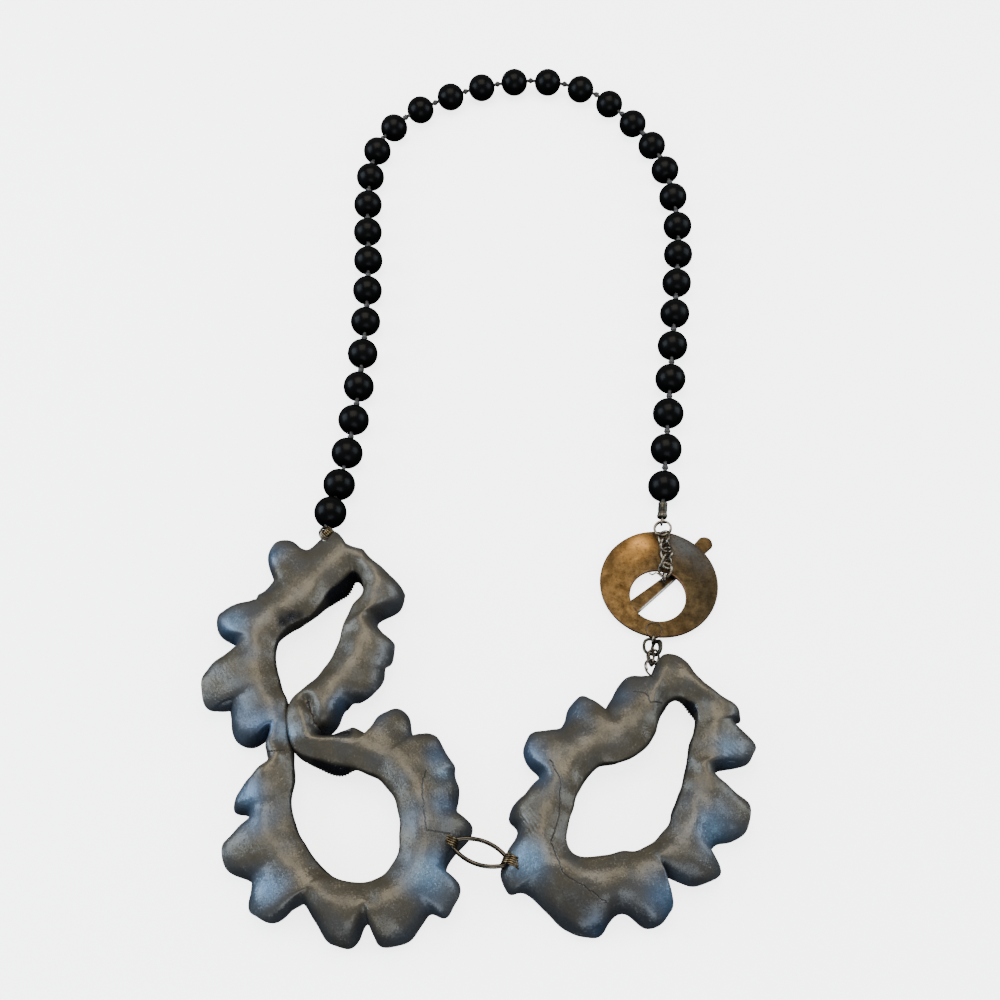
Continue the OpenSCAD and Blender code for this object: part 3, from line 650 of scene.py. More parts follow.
# Painted shade on the lower skirts of the single form and in a notch.
skirt_shade_places = [(27, -155, 7, 0.4), (46, -157, 5, 0.35), (37, -158, 5, 0.3), (9, -146, 3, 0.3)]
double_black = np.maximum(double_black, np.clip(patches(double_grid, pit_shade), 0, 1))
single_black = np.maximum(single_black, np.clip(patches(single_grid, skirt_shade_places), 0, 1))
print_places = [
    (16.5, -133, 4, 1.0), (69, -111, 4, 0.9), (-70, -93, 5, 0.5), (-26, -148, 4, 0.4),
    (31, -104, 4, 0.4),
]


def blue_amount(grid, spots, seed):
    """Steep outer slopes and listed spots, broken up by a slow swell."""
    # Painted reflection: the steeper an outer slope, the bluer, as if it caught the cool windows.
    steep = 1 - grid_normals(grid)[..., 2] ** 2
    outer = np.clip((np.arange(grid.shape[1]) - 18) / 16, 0, 1)
    return np.clip(0.3 * steep * outer + patches(grid, spots) * 0.8 + 0.08 * swell(grid, 9, seed), 0, 1)


print("blue on the double form:", round(float(blue_amount(double_grid, double_blue, 5).mean()), 2))

# %% [markdown]
# Finish of the clay. Tiny flakes of mica sparkle in the light. They are cells of a Voronoi
# pattern a third of a millimetre wide. Each leans its own way, and some lean far, so that now one
# and now another catches a lamp. A fine noise bump gives the satin grain, and a broader one shows
# the marks of fingers. Prints are a bent wave, and a crack is where the distance to a broken line
# is small. The black ribbed edges are smoother and shinier, so the same number that marks them
# lowers the roughness.

# %% The pearly clay
def kept(tree, name, out="Fac"):
    """The number kept under that name for each point of a piece."""
    return add(tree, "Attribute", out=out, attribute_name=name)


def object_place(tree):
    """Where a point of the surface lies in the object's own frame, in metres."""
    return add(tree, "TexCoord", out="Object")


def vectors(tree, operation, a, b=(0, 0, 0), scale=1.0):
    """Vector arithmetic. A dot product and a distance are numbers, the node's second output."""
    out = 1 if operation in ("DOT_PRODUCT", "DISTANCE") else 0
    return add(tree, "VectorMath", {0: a, 1: b, 3: scale}, out, operation=operation)


def crack_distance(tree, place, lines):
    """Distance in plan from a point of the surface to the nearest straight part of broken lines."""
    nearest = None
    flat = vectors(tree, "MULTIPLY", place, (1, 1, 0))
    for start, end in [part for line in lines for part in zip(line[:-1], line[1:])]:
        a, b = Vector((*start, 0)) * MM, Vector((*end, 0)) * MM
        way = b - a
        from_a = vectors(tree, "SUBTRACT", flat, a)
        share = vectors(tree, "DOT_PRODUCT", from_a, way / way.length_squared)
        foot = vectors(tree, "SCALE", way, scale=add(tree, "Clamp", {"Value": share}))
        gap = vectors(tree, "DISTANCE", from_a, foot)
        nearest = gap if nearest is None else add(tree, "Math", {0: nearest, 1: gap}, operation="MINIMUM")
    return nearest


def clay_finish(name, cracks):
    """Warm grey to slate blue by the number 'blue', black by 'black', with flakes, prints and cracks."""
    finish, tree, shader = new_finish(name)
    place, black, half = object_place(tree), kept(tree, "black"), (0.5, 0.5, 0.5)
    smudge = noise(tree, place, 160, 4, 0.6)
    stroke = noise(tree, kept(tree, "hand", "Vector"), 1, 4, 0.6)
    tone = add(tree, "Mix", {0: 0.4, 2: smudge, 3: stroke})
    warm = mix_colour(tree, tone, (0.033, 0.0275, 0.0185, 1), (0.079, 0.066, 0.0445, 1))
    cool = mix_colour(tree, tone, (0.03, 0.048, 0.078, 1), (0.064, 0.104, 0.17, 1))
    # Slate blue by 'blue': partly the powder's own tint, partly painted reflection.
    colour = mix_colour(tree, kept(tree, "blue"), warm, cool)
    flakes = add(tree, "TexVoronoi", {"Vector": place, "Scale": 3300}, "Color")
    chance = add(tree, "SeparateColor", {0: flakes}, 2)
    shine = spread(tree, chance, 0, 1, 0.25, 0.9)
    # Painted glints: where 'pearl' is high, the brighter flakes are mixed towards a light blue.
    pearly = add(tree, "Math", {0: shine, 1: kept(tree, "pearl")}, operation="MULTIPLY")
    colour = mix_colour(tree, pearly, colour, (0.11, 0.19, 0.27, 1))
    shift = vectors(tree, "SUBTRACT", noise(tree, place, 420, 3, out="Color"), half)
    bent = vectors(tree, "ADD", place, vectors(tree, "SCALE", shift, scale=0.0013))
    opened = spread(tree, crack_distance(tree, bent, cracks), 0.00002, 0.00024, 1, 0)
    colour = mix_colour(tree, opened, colour, (0.035, 0.03, 0.027, 1))
    colour = mix_colour(tree, black, colour, (0.009, 0.009, 0.011, 1))
    satin = spread(tree, smudge, 0.3, 0.7, 0.48, 0.33)
    small = bump(tree, noise(tree, place, 1900, 2), 0.25, 0.0001)
    broad = bump(tree, stroke, 0.25, 0.0003, small)
    print_lines = {"Vector": place, "Scale": 360, "Distortion": 2.5, "Detail": 1, "Detail Scale": 0.4}
    wave = add(tree, "TexWave", print_lines, "Fac", bands_direction="DIAGONAL")
    ridges = add(tree, "Math", {0: wave, 1: kept(tree, "print")}, operation="MULTIPLY")
    printed = bump(tree, ridges, 0.6, 0.00012, broad)
    cut = bump(tree, opened, 0.8, 0.0003, printed, invert=True)
    lean = vectors(tree, "SUBTRACT", flakes, half)
    leaned = vectors(tree, "SCALE", lean, scale=spread(tree, chance, 0.6, 1, 0.14, 0.5))
    fill(tree, shader, {
        "Base Color": colour, "Metallic": 0.45,
        "Roughness": add(tree, "Mix", {0: black, 2: satin, 3: 0.25}),
        "Normal": vectors(tree, "NORMALIZE", vectors(tree, "ADD", cut, leaned)),
    })
    return finish


single_cracks = [
    [(21, -115), (24, -121), (23.2, -130), (21, -138), (24, -146), (30, -149.5), (35, -153)],
    [(45, -94.5), (48.5, -96), (49.5, -98.5), (53, -98)],
]
double_cracks = [
    [(-12.5, -118), (-13.5, -123), (-12, -134.5), (-6, -134.8)],
    [(-57, -112.6), (-54, -112.9), (-51.5, -112.2)],
    tongue_edge,
]
clay_single = clay_finish("pearly_clay_single", single_cracks)
clay_double = clay_finish("pearly_clay_double", double_cracks)
print("cracks drawn:", len(single_cracks) + len(double_cracks))

# %% [markdown]
# Fingers stroked the clay along the band, and left faint lines. For a noise that is drawn out along
# the band, every point needs a place on the band and not in space. The place along it is kept as a
# point on a circle, so that the noise closes without a seam, and the place across it is
# stretched, so that the marks come out long and narrow.

# %% Places on the band
def hand_places(grid):
    """Place along the band on a circle of 0.12 of its real size, and 0.7 of the way across it, in mm."""
    crown = grid[:, rows_over // 2]
    along = np.cumsum(np.linalg.norm(crown - np.roll(crown, 1, 0), axis=1))
    across = np.cumsum(np.linalg.norm(grid - np.roll(grid, 1, 1), axis=2), axis=1)
    radius = along[-1] / (2 * np.pi)
    angle = (along / radius)[:, None] * np.ones(grid.shape[1])
    return np.stack([0.12 * radius * np.cos(angle), 0.12 * radius * np.sin(angle), 0.7 * across], -1)


band_places = {"single": hand_places(single_grid), "double": hand_places(double_grid)}
print("places across the single form reach", round(float(band_places["single"][..., 2].max())))

# %% [markdown]
# Each frilled form is one piece, and it carries five sets of numbers for its material: how blue (partly
# painted reflection), how black (partly painted shade), how printed and how much painted glint each point
# has, and its place on the band. Painted pictures could do the same, but they would need an unwrapped surface.

# %% Frilled forms
clay_rows = [
    ("single", single_grid, clay_single, blue_amount(single_grid, single_blue, 3), single_black),
    ("double", double_grid, clay_double, blue_amount(double_grid, double_blue, 5), double_black),
]
for name, grid, finish, blue, black in clay_rows:
    form = piece_from_grid(name + "_frill", grid, finish, "glaze", [name + "_ruffle"], ring=True)
    note(form, "blue", blue)
    note(form, "black", black)
    note(form, "print", np.clip(patches(grid, print_places), 0, 1))
    note(form, "pearl", np.clip(patches(grid, pearl_glint_places), 0, 1))
    note(form, "hand", band_places[name], across=3)
    print(name, "triangles:", 2 * len(form.data.polygons))

# %% [markdown]
# The string of beads follows a line of knots. The first lies at the double form, and each step
# to the next has a heading and a length. Every bead could have its own place, but the steps
# change slowly, so a short table holds them, and values between its rows lie on a straight line.

# %% The line of knots
strand_start = np.array([-45.7, -39.4])
step_rows = np.array([
    [0, 78, 10], [2, 83, 12.6], [4, 87, 13.4], [7, 91, 13.6], [9, 94.5, 13], [11, 87.5, 13.6],
    [12, 76, 13.1], [13, 54, 13.9], [14, 35.5, 13.6], [15, 28, 12.9], [17, 8.5, 12.9], [19, -25.5, 13.3],
    [20, -48.5, 14], [21, -54.5, 12.7], [22, -65.5, 13.6], [23, -78.5, 12.8], [24, -84.5, 14.3],
    [26, -96, 12.8], [28, -97, 13.7], [33, -96.5, 13.9],
])
bead_count, bead_radius, bore_radius = 34, 5.0, 0.8
steps = np.arange(bead_count)
heading = np.radians(np.interp(steps, step_rows[:, 0], step_rows[:, 1]))
length = np.interp(steps, step_rows[:, 0], step_rows[:, 2])
walk = np.stack([length * np.cos(heading), length * np.sin(heading)], -1)
knots_plan = np.concatenate([[strand_start], strand_start + np.cumsum(walk, 0)])
knot_z = np.interp(np.arange(bead_count + 1), [0, 1, 2, 3, 34], [6.4, 5.6, 5.1, 5, 5])
knots = np.concatenate([knots_plan, knot_z[:, None]], -1)
print("length of the string:", round(float(np.linalg.norm(np.diff(knots, axis=0), axis=1).sum())), "mm")

# %% [markdown]
# A bead is a ball of black glass, drilled through. It could be a UV sphere with a hole cut
# by a Boolean. A turned profile is simpler and gives clean edges: half a circle from one end of
# the bore to the other, with a small round at each, and back through the bore. The profile is
# turned round the line from knot to knot.

# %% Beads
bead_around = 56
half_turn = np.arcsin(bore_radius / bead_radius)
sweep = np.linspace(half_turn, np.pi - half_turn, 29)
profile_r = np.concatenate([bead_radius * np.sin(sweep), [bore_radius * 0.93] * 2])
profile_x = np.concatenate([-bead_radius * np.cos(sweep), [4.6, -4.6]])


def level_frame(way):
    """Two directions square to each other and to the way: one level, and one that points up."""
    side = unit(np.stack([way[..., 1], -way[..., 0], np.zeros_like(way[..., 0])], -1))
    return side, np.cross(side, way)


def turned(centre, way, radius, distance, around):
    """Profile of radius and distance, turned round a line through the centre."""
    side, up = level_frame(way)
    angle = np.linspace(0, 2 * np.pi, around, endpoint=False)[:, None, None]
    ring = np.cos(angle) * side + np.sin(angle) * up
    return centre + distance[:, None] * way + radius[:, None] * ring


glass, tree, shader = new_finish("black_glass")
haze = noise(tree, object_place(tree), 240, 3)
fill(tree, shader, {
    "Base Color": mix_colour(tree, haze, (0.001, 0.001, 0.001, 1), (0.003, 0.003, 0.003, 1)),
    "Roughness": spread(tree, haze, 0, 1, 0.22, 0.34), "Specular IOR Level": 0.06,
})
ways = unit(np.diff(knots, axis=0))
middles = (knots[1:] + knots[:-1]) / 2
for number in range(bead_count):
    bead_grid = turned(middles[number], ways[number], profile_r, profile_x, bead_around)
    name = f"bead_{number + 1:02d}"
    piece_from_grid("glass_" + name, bead_grid, glass, "bead", [name], ring=True)
print("beads:", bead_count)

# %% [markdown]
# Thread, wire and the like are tubes: a circle carried along a line. The thread is a dark twisted
# cord, and a plain tube would look like wire. Its two plies are shown by a section with two lobes
# that turns as it runs along.

# %% Tubes along a line
def tube(path, radius, around, lobes=0.0, twist=0.0, up=None, ring=False):
    """Circles carried along a path. Lobes make the section swell twice a turn, and twist turns it."""
    along = unit(np.roll(path, -1, 0) - np.roll(path, 1, 0) if ring else np.gradient(path, axis=0))
    side, high = level_frame(along)
    if up is not None:
        side = unit(np.cross(along, up))
        high = np.cross(side, along)
    angle = np.linspace(0, 2 * np.pi, around, endpoint=False)[None, :]
    radius, twist = (np.broadcast_to(value, len(path))[:, None] for value in (radius, twist))
    reach = radius * (1 - lobes + lobes * np.abs(np.cos(angle - twist)))
    circle = np.cos(angle)[..., None] * side[:, None] + np.sin(angle)[..., None] * high[:, None]
    return path[:, None] + reach[..., None] * circle


def smooth_line(points, count):
    """So many stations on the smooth line through a few points."""
    return open_curve(np.array(points), np.linspace(0, len(points) - 1, count))


print("stations on a line through three points:", len(smooth_line(np.eye(3), 9)))

# %% [markdown]
# A small curl of clay stands at the left edge of the upper eye, where the ribbon was folded over.
# It is a short roll that comes to a point at both ends, pressed by hand like the rest.

# %% A curl of clay at the edge
curl_bends = [[-54.6, -71.2, 7.2], [-53, -70.4, 8.2], [-51.2, -70, 8.4], [-49.6, -70.2, 7.6]]
curl_thick = 0.85 * np.sqrt(np.clip(np.sin(np.linspace(0.05, np.pi - 0.05, 40)), 0, 1))
curl_grid = tube(smooth_line(curl_bends, 40), curl_thick, 20)
piece_from_grid("edge_curl", press_by_hand(curl_grid, 7), clay_double, "glaze")
print("curl:", curl_grid.shape)

# %% [markdown]
# The thread has a knot between most beads. A knot is a short swelling whose surface winds the
# other way. Most of the cord is hidden in the beads, so its stations crowd together where it
# shows, and its finish is dull, dark wax with a fine grain of fibres.

# %% The knotted thread
tip_end = np.array([57.4, -35.75, 4.6])
tip_way = unit(tip_end - knots[-1])
tip_mouth = knots[-1] + 1.3 * tip_way
loop_centre = np.array([-45.85, -41.0, 6.6])
loop_radius, thread_radius, knot_radius = 1.2, 0.6, 1.1
thread_start = loop_centre + loop_radius * unit(knots[0] - loop_centre)
thread_line = np.concatenate([[thread_start], knots, [tip_mouth + 1.7 * tip_way]])
reached = np.concatenate([[0], np.cumsum(np.linalg.norm(np.diff(thread_line, axis=0), axis=1))])
knot_at = reached[1:-1]
near_knots = (knot_at[:, None] + np.linspace(-2.2, 2.2, 30)[None]).ravel()
stations = np.unique(np.clip(np.concatenate([near_knots, reached]), 0, reached[-1]))
thread_path = np.stack([np.interp(stations, reached, thread_line[:, axis]) for axis in range(3)], -1)
tied = np.concatenate([[False], length[:-1] >= 12.4, [False]])
bumps = np.exp(-(((stations[:, None] - knot_at[tied]) / 0.75) ** 4)).sum(1)
thread_thick = thread_radius * 0.98 + (knot_radius - thread_radius) * np.clip(bumps, 0, 1)
thread_grid = tube(thread_path, thread_thick, 16, lobes=0.24, twist=stations * 3.4 + 2.5 * bumps)
print("thread stations:", len(stations), "knots:", int(tied.sum()))

# %% Finish of the thread
waxed, tree, shader = new_finish("waxed_thread")
fibre = noise(tree, object_place(tree), 3000, 2)
fill(tree, shader, {
    "Base Color": mix_colour(tree, fibre, (0.006, 0.006, 0.006, 1), (0.04, 0.038, 0.036, 1)),
    "Roughness": 0.5, "Normal": bump(tree, fibre, 0.5, 0.0001),
})
piece_from_grid("knotted_thread", thread_grid, waxed, "thread", ["bead_thread"])
print("thread points:", thread_grid.shape[0] * thread_grid.shape[1])

# %% [markdown]
# Rings and coils are wire bent round a flat circle that is tilted in space. Each has a place, a
# heading, a rise and a roll, as in the CAD model: first the ring rolls about its own X axis,
# then it rises, then it turns to its heading. One small matrix does all three. A coil is the
# same circle drawn out along its axis while it turns.

# %% Tilted rings and coils
def tilt(heading_deg, rise_deg, roll_deg):
    """Matrix that rolls about X, then lifts the X axis by the rise, then turns to the heading."""
    h, r, q = np.radians([heading_deg, rise_deg, roll_deg])
    turn = np.array([[np.cos(h), -np.sin(h), 0], [np.sin(h), np.cos(h), 0], [0, 0, 1]])
    lift = np.array([[np.cos(r), 0, -np.sin(r)], [0, 1, 0], [np.sin(r), 0, np.cos(r)]])
    roll = np.array([[1, 0, 0], [0, np.cos(q), -np.sin(q)], [0, np.sin(q), np.cos(q)]])
    return turn @ lift @ roll


def rounded_ends(count, wire):
    """Radius of a wire at each station, which falls to nearly nothing over the last three."""
    ends = np.minimum(np.arange(count), np.arange(count)[::-1])
    return wire * np.sqrt(np.clip((ends + 0.3) / 2.5, 0, 1))


def coil(centre, turn, radius, turns, pitch, wire, start):
    """Tube along a circle that is drawn out along its axis by the pitch at each turn."""
    angle = start + np.linspace(0, 2 * np.pi * turns, int(72 * turns) + 1)
    rise = (angle - start) / (2 * np.pi) - turns / 2
    local = np.stack([radius * np.cos(angle), radius * np.sin(angle), pitch * rise], -1)
    path = np.asarray(centre) + local @ turn.T
    return tube(path, rounded_ends(len(path), wire), 12, up=turn[:, 2])


def loop(centre, turn, length, width, wire, twist=0.0, flat=0.0):
    """Closed link: a circle drawn out and squared off a little, its sides bent by the twist."""
    angle = np.linspace(0, 2 * np.pi, 96, endpoint=False)
    squared = lambda wave: np.sign(wave) * np.abs(wave) ** 0.82
    local = np.stack([
        (length / 2 - wire) * squared(np.cos(angle)),
        (width / 2 - wire) * squared(np.sin(angle)),
        twist * np.sin(2 * angle),
    ], -1)
    path = np.asarray(centre) + local @ turn.T
    return tube(path, wire, 14, lobes=flat, up=turn[:, 2], ring=True)


print("a ring's own axis after a roll of 60 degrees:", tilt(110, 0, 60)[:, 2].round(2))

# %% [markdown]
# Wire finishes. The real wires are dark brown-grey steel, silver and old brass. All are metals, so
# their colour is the colour of their reflection. Each could be one even colour, but wire that was
# worn has dark tarnish between clean places. One noise gives both the tarnish and a fine relief,
# and the tarnished places are the rougher ones.

# %% Metal finishes
def metal_finish(name, dark, light, rough, scale=900.0, relief=0.15):
    """Metal that varies from a tarnished colour to a clean one, with a fine relief."""
    finish, tree, shader = new_finish(name)
    tarnish = noise(tree, object_place(tree), scale, 4, 0.65)
    clean = spread(tree, tarnish, 0.35, 0.68)
    fill(tree, shader, {
        "Base Color": mix_colour(tree, clean, dark, light), "Metallic": 0.92,
        "Roughness": spread(tree, clean, 0, 1, rough + 0.15, rough),
        "Normal": bump(tree, tarnish, relief, 0.0001),
    })
    return finish


gunmetal = metal_finish("dark_steel_wire", (0.012, 0.009, 0.006, 1), (0.26, 0.22, 0.165, 1), 0.2)
silver = metal_finish("bright_wire", (0.03, 0.022, 0.013, 1), (0.42, 0.38, 0.31, 1), 0.2)
brass = metal_finish("old_brass_wire", (0.016, 0.01, 0.005, 1), (0.19, 0.135, 0.065, 1), 0.2, 700)
smooth_dark, smooth_light = (0.008, 0.007, 0.006, 1), (0.075, 0.064, 0.05, 1)
link_steel = metal_finish("black_steel_wire", smooth_dark, smooth_light, 0.16, 260, relief=0.05)
tip_steel = metal_finish("olive_steel", (0.012, 0.011, 0.008, 1), (0.06, 0.055, 0.04, 1), 0.36)
print("metals:", [finish.name for finish in (gunmetal, silver, brass, link_steel, tip_steel)])

# %% [markdown]
# A split ring joins the thread to the clay, with thinner wire wound through it. Two coils of brass
# wire hold the ends of the long link, and a ring holds the single form. All go through slots
# in the clay. They could be built one by one, but they differ in place and size only, so a
# table holds them.

# %% Rings and coils set into the clay
hook_bends = [[-46.4, -44.9, 8.2], [-45.4, -46, 8.9], [-43.8, -46.1, 9.2], [-42.5, -45.3, 9]]
hook = tube(smooth_line(hook_bends, 36), rounded_ends(36, 0.3), 12)
small_loop = loop([-8.4, -135.9, 8.9], tilt(-20, 8, 14), 2.9, 2.7, 0.23)
# Columns: name, grid, finish, slot, replaced CAD node, closed. Those of a coil: place, tilt,
# radius, turns, pitch, wire, first angle.
wire_rows = [
    ("split_ring_wire", coil([-44.7, -43.2, 8.1], tilt(110, 0, 34), 2.3, 2.6, 0.66, 0.33, 0.6),
     gunmetal, "silver", ["split_ring"], False),
    ("split_ring_wrap", coil([-44.9, -43.1, 8.3], tilt(45, 90, 0), 1.3, 5.2, 0.62, 0.27, 0.4),
     brass, "bronze", [], False),
    ("split_ring_hook", hook, silver, "silver", [], False),
    ("left_coil_wire", coil([-6.2, -136.3, 6.9], tilt(-20, 0, 90), 2.5, 3.2, 0.62, 0.24, 0.3),
     brass, "bronze", ["left_coil"], False),
    ("right_coil_wire", coil([10.6, -142.4, 7.6], tilt(-20, 0, 76), 2.6, 5.0, 0.62, 0.25, 1.9),
     brass, "bronze", ["right_coil"], False),
    ("left_coil_loop", small_loop, brass, "bronze", [], True),
    ("ruffle_ring_wire", coil([51.4, -85.2, 3.9], tilt(-90, 0, 146), 2.5, 1.9, 0.5, 0.33, 1.0),
     silver, "gunmetal", ["ruffle_ring"], False),
]
for row in wire_rows:
    piece_from_grid(*row)
print("rings, coils, hook and loop:", len(wire_rows))

# %% [markdown]
# The cord tip is a short crimped tube with a turn of wire round its lower end, and an eye. A tube
# along a straight path does for it, with a radius that dips at the crimps. The ring below it is bent
# nearly twice round, so it shows as two wires side by side.

# %% The cord tip and its ring
tip_radius, tip_stations = 1.45, 52
tip_top = tip_mouth - 2.2 * tip_way
tip_run = np.linalg.norm(tip_end - tip_top)
tip_along = np.linspace(0, tip_run, tip_stations)
crimps = 0.07 * np.exp(-(((tip_along[:, None] - [1.1, 3.1]) / 0.25) ** 2)).sum(1)
tip_thick = tip_radius * (1 - np.clip(1 - tip_along / 0.25, 0, 1) ** 2 * 0.12) - crimps
tip_thick *= np.clip((tip_run - tip_along) / 0.5 + 0.55, 0, 1) ** 0.5
tip_grid = tube(tip_top + tip_along[:, None] * tip_way, tip_thick, 40)
piece_from_grid("crimped_tip", tip_grid, tip_steel, "gunmetal", ["cord_tip"])
tip_turn = tilt(np.degrees(np.arctan2(tip_way[1], tip_way[0])), np.degrees(np.arcsin(tip_way[2])), 0)
wrap = coil(tip_end - 0.75 * tip_way, tip_turn @ tilt(0, 90, 0), 1.42, 2.3, 0.42, 0.2, 2.0)
piece_from_grid("tip_wrap", wrap, gunmetal, "gunmetal")
tip_eye = loop(tip_end + 1.1 * tip_way, tip_turn @ tilt(0, 0, 90), 2.9, 2.9, 0.34)
piece_from_grid("tip_eye", tip_eye, gunmetal, "gunmetal", ring=True)
clasp_ring = coil([57.4, -39.3, 4.5], tilt(-90, 0, 10), 2.5, 1.9, 0.62, 0.37, 2.6)
piece_from_grid("clasp_ring_wire", clasp_ring, gunmetal, "gunmetal", ["clasp_ring"])
print("cord tip:", round(float(tip_run), 1), "mm long")

# %% [markdown]
# The clasp's chain is of the curb kind. Each link is a long loop whose two sides are bent
# out of its plane, so that the next one lies flatter, and its wire is a little flattened, which
# gives the sharp bright streaks. One function makes every link, because only its size, twist and
# tilt differ. The short link below the disc is made of two such loops side by side.

# %% The chain of the clasp
def add_links(rows):
    """One closed link for each row: name, place, tilt, sizes, finish and replaced CAD nodes."""
    for name, centre, way, sizes, finish, replaced in rows:
        grid = loop(centre, tilt(*way), *sizes)
        piece_from_grid(name, grid, finish, "gunmetal", replaced, ring=True)


# Sizes of a loop: its length, width, wire, twist and flatness.
chain_size, strand_size = (5.0, 4.5, 0.42, 0.3, 0.16), (6.3, 3.6, 0.37, 0.3, 0.14)
add_links([
    ("chain_link_1", [57.6, -42.6, 4.7], (-88, 3, 42), chain_size, gunmetal, ["toggle_chain"]),
    ("chain_link_2", [57.8, -45.5, 4.95], (-92, 4, -34), chain_size, gunmetal, []),
    ("chain_link_3", [58.0, -48.4, 5.15], (-90, 2, 40), chain_size, gunmetal, []),
    ("chain_link_4", [57.9, -51.1, 5.0], (-98, -4, -38), chain_size, gunmetal, []),
    ("chain_link_5", [57.25, -53.5, 4.4], (-104, -24, 12), chain_size, gunmetal, []),
])
kink_bends = [[56.4, -54.6, 4.1], [55.2, -54.9, 4.3], [54.4, -54.3, 4], [53.4, -54.7, 3.6], [52.4, -54.1, 3.5]]
kink_grid = tube(smooth_line(kink_bends, 40), rounded_ends(40, 0.22), 10)
piece_from_grid("kinked_wire_end", kink_grid, gunmetal, "gunmetal")
add_links([
    ("disc_link_strand_1", [51.5, -81.45, 2.8], (-87, 22, 60), strand_size, gunmetal, ["disc_link"]),
    ("disc_link_strand_2", [52.3, -81.2, 3.1], (-87, 22, 24), strand_size, gunmetal, []),
    ("disc_ring_wire_1", [52.0, -77.6, 1.9], (-95, 0, -10), (5.7, 5.7, 0.47), tip_steel, ["disc_ring"]),
    ("disc_ring_wire_2", [53.3, -78.3, 2.6], (-95, 0, 58), (5.2, 5.2, 0.47), tip_steel, []),
])
print("links of the chain: 5, and below the disc 2 strands and 2 rings")

# %% [markdown]
# The link between the two forms is a long pointed oval of one wire. Its centre line is four arcs,
# a wide one on each side and a small one round each end, which meet without a corner. The
# angle where they meet follows from their radii.

# %% The long link
link_tips = np.array([[-4.9, -136.8, 7.4], [9.2, -141.9, 8.0]])
half_width, end_radius, link_wire = 3.15, 1.6, 0.6
link_way = link_tips[1] - link_tips[0]
run = np.linalg.norm(link_way) / 2 - end_radius
side_radius = (run**2 + half_width**2 - end_radius**2) / (2 * (half_width - end_radius))
half_side_arc = np.arcsin(run / (side_radius - end_radius))


def arc(x, y, radius, start, stop, count):
    """Points on a circle round x and y, from one angle up to, but without, another."""
    angle = np.linspace(start, stop, count, endpoint=False)
    return np.stack([x + radius * np.cos(angle), y + radius * np.sin(angle), 0 * angle], -1)


quarter = np.pi / 2
half_end_arc = quarter - half_side_arc
link_line = np.concatenate([
    arc(run, 0, end_radius, -half_end_arc, half_end_arc, 30),
    arc(0, half_width - side_radius, side_radius, half_end_arc, quarter + half_side_arc, 70),
    arc(-run, 0, end_radius, quarter + half_side_arc, 3 * quarter - half_side_arc, 30),
    arc(0, side_radius - half_width, side_radius, 3 * quarter - half_side_arc, 3 * quarter + half_side_arc, 70),
])
link_heading = np.degrees(np.arctan2(link_way[1], link_way[0]))
link_rise = np.degrees(np.arctan2(link_way[2], np.linalg.norm(link_way[:2])))
link_turn = tilt(link_heading, link_rise, 0)
link_path = link_tips.mean(0) + link_line @ link_turn.T
long_link = tube(link_path, link_wire, 18, up=link_turn[:, 2], ring=True)
piece_from_grid("long_link_wire", long_link, link_steel, "gunmetal", ["marquise_link"], ring=True)
print("long link:", round(2 * float(run + end_radius), 1), "mm from tip to tip")

# %% [markdown]
# The clasp's disc is sheet bronze, beaten into a shallow dome, with a hole off its centre. It could
# be cut from a sphere. Here every spoke runs from the hole's edge to the outer edge, so one grid
# covers the top, the rim, the under side and the hole's wall. The hammer leaves dents a few
# millimetres wide.

# %% The toggle disc
disc_centre, disc_radius = np.array([55.4, -56.8]), 17.8
disc_edge_z, disc_rise, disc_thick = 1.3, 1.2, 0.9
hole_centre, hole_radius = np.array([54.7, -61.5]), 8.3
dome_radius = (disc_radius**2 + disc_rise**2) / (2 * disc_rise)
dome_centre_z = disc_edge_z + disc_rise - dome_radius
spoke_rows = np.linspace(0.008, 0.992, 34)
share = np.concatenate([spoke_rows, [0.998, 1.0, 1.0, 0.998], spoke_rows[::-1], [0.002, 0.0, 0.0, 0.002]])
side_up = np.concatenate([np.ones(34), [0.92, 0.7, 0.3, 0.08], np.zeros(34), [0.08, 0.3, 0.7, 0.92]])
spoke_angle = np.linspace(0, 2 * np.pi, 220, endpoint=False)
spoke = np.stack([np.cos(spoke_angle), np.sin(spoke_angle)], -1)[:, None]
hole_edge, outer_edge = hole_centre + hole_radius * spoke, disc_centre + disc_radius * spoke
disc_plan = hole_edge + (outer_edge - hole_edge) * share[:, None]
off_centre = np.linalg.norm(disc_plan - disc_centre, axis=-1)
dome = dome_centre_z + np.sqrt(dome_radius**2 - np.minimum(off_centre, disc_radius) ** 2)
flat_points = np.concatenate([disc_plan, np.zeros((*off_centre.shape, 1))], -1)
dents = 0.025 * swell(flat_points, 4.2, 31) + 0.05 * swell(flat_points, 11.0, 32)
disc_grid = np.concatenate([disc_plan, (dome + side_up * disc_thick + dents)[..., None]], -1)[:, ::-1]
print("disc grid:", disc_grid.shape)

# %% [markdown]
# The bronze is brown and cloudy, golden on the left, partly its own tint and partly painted light
# from the left, with a grey patch near the top and an orange flare, a painted highlight where a lamp
# catches it. Its edges are worn bright. As on the clay, a number for each point says how much there
# is of each, and the material mixes its colours by them.

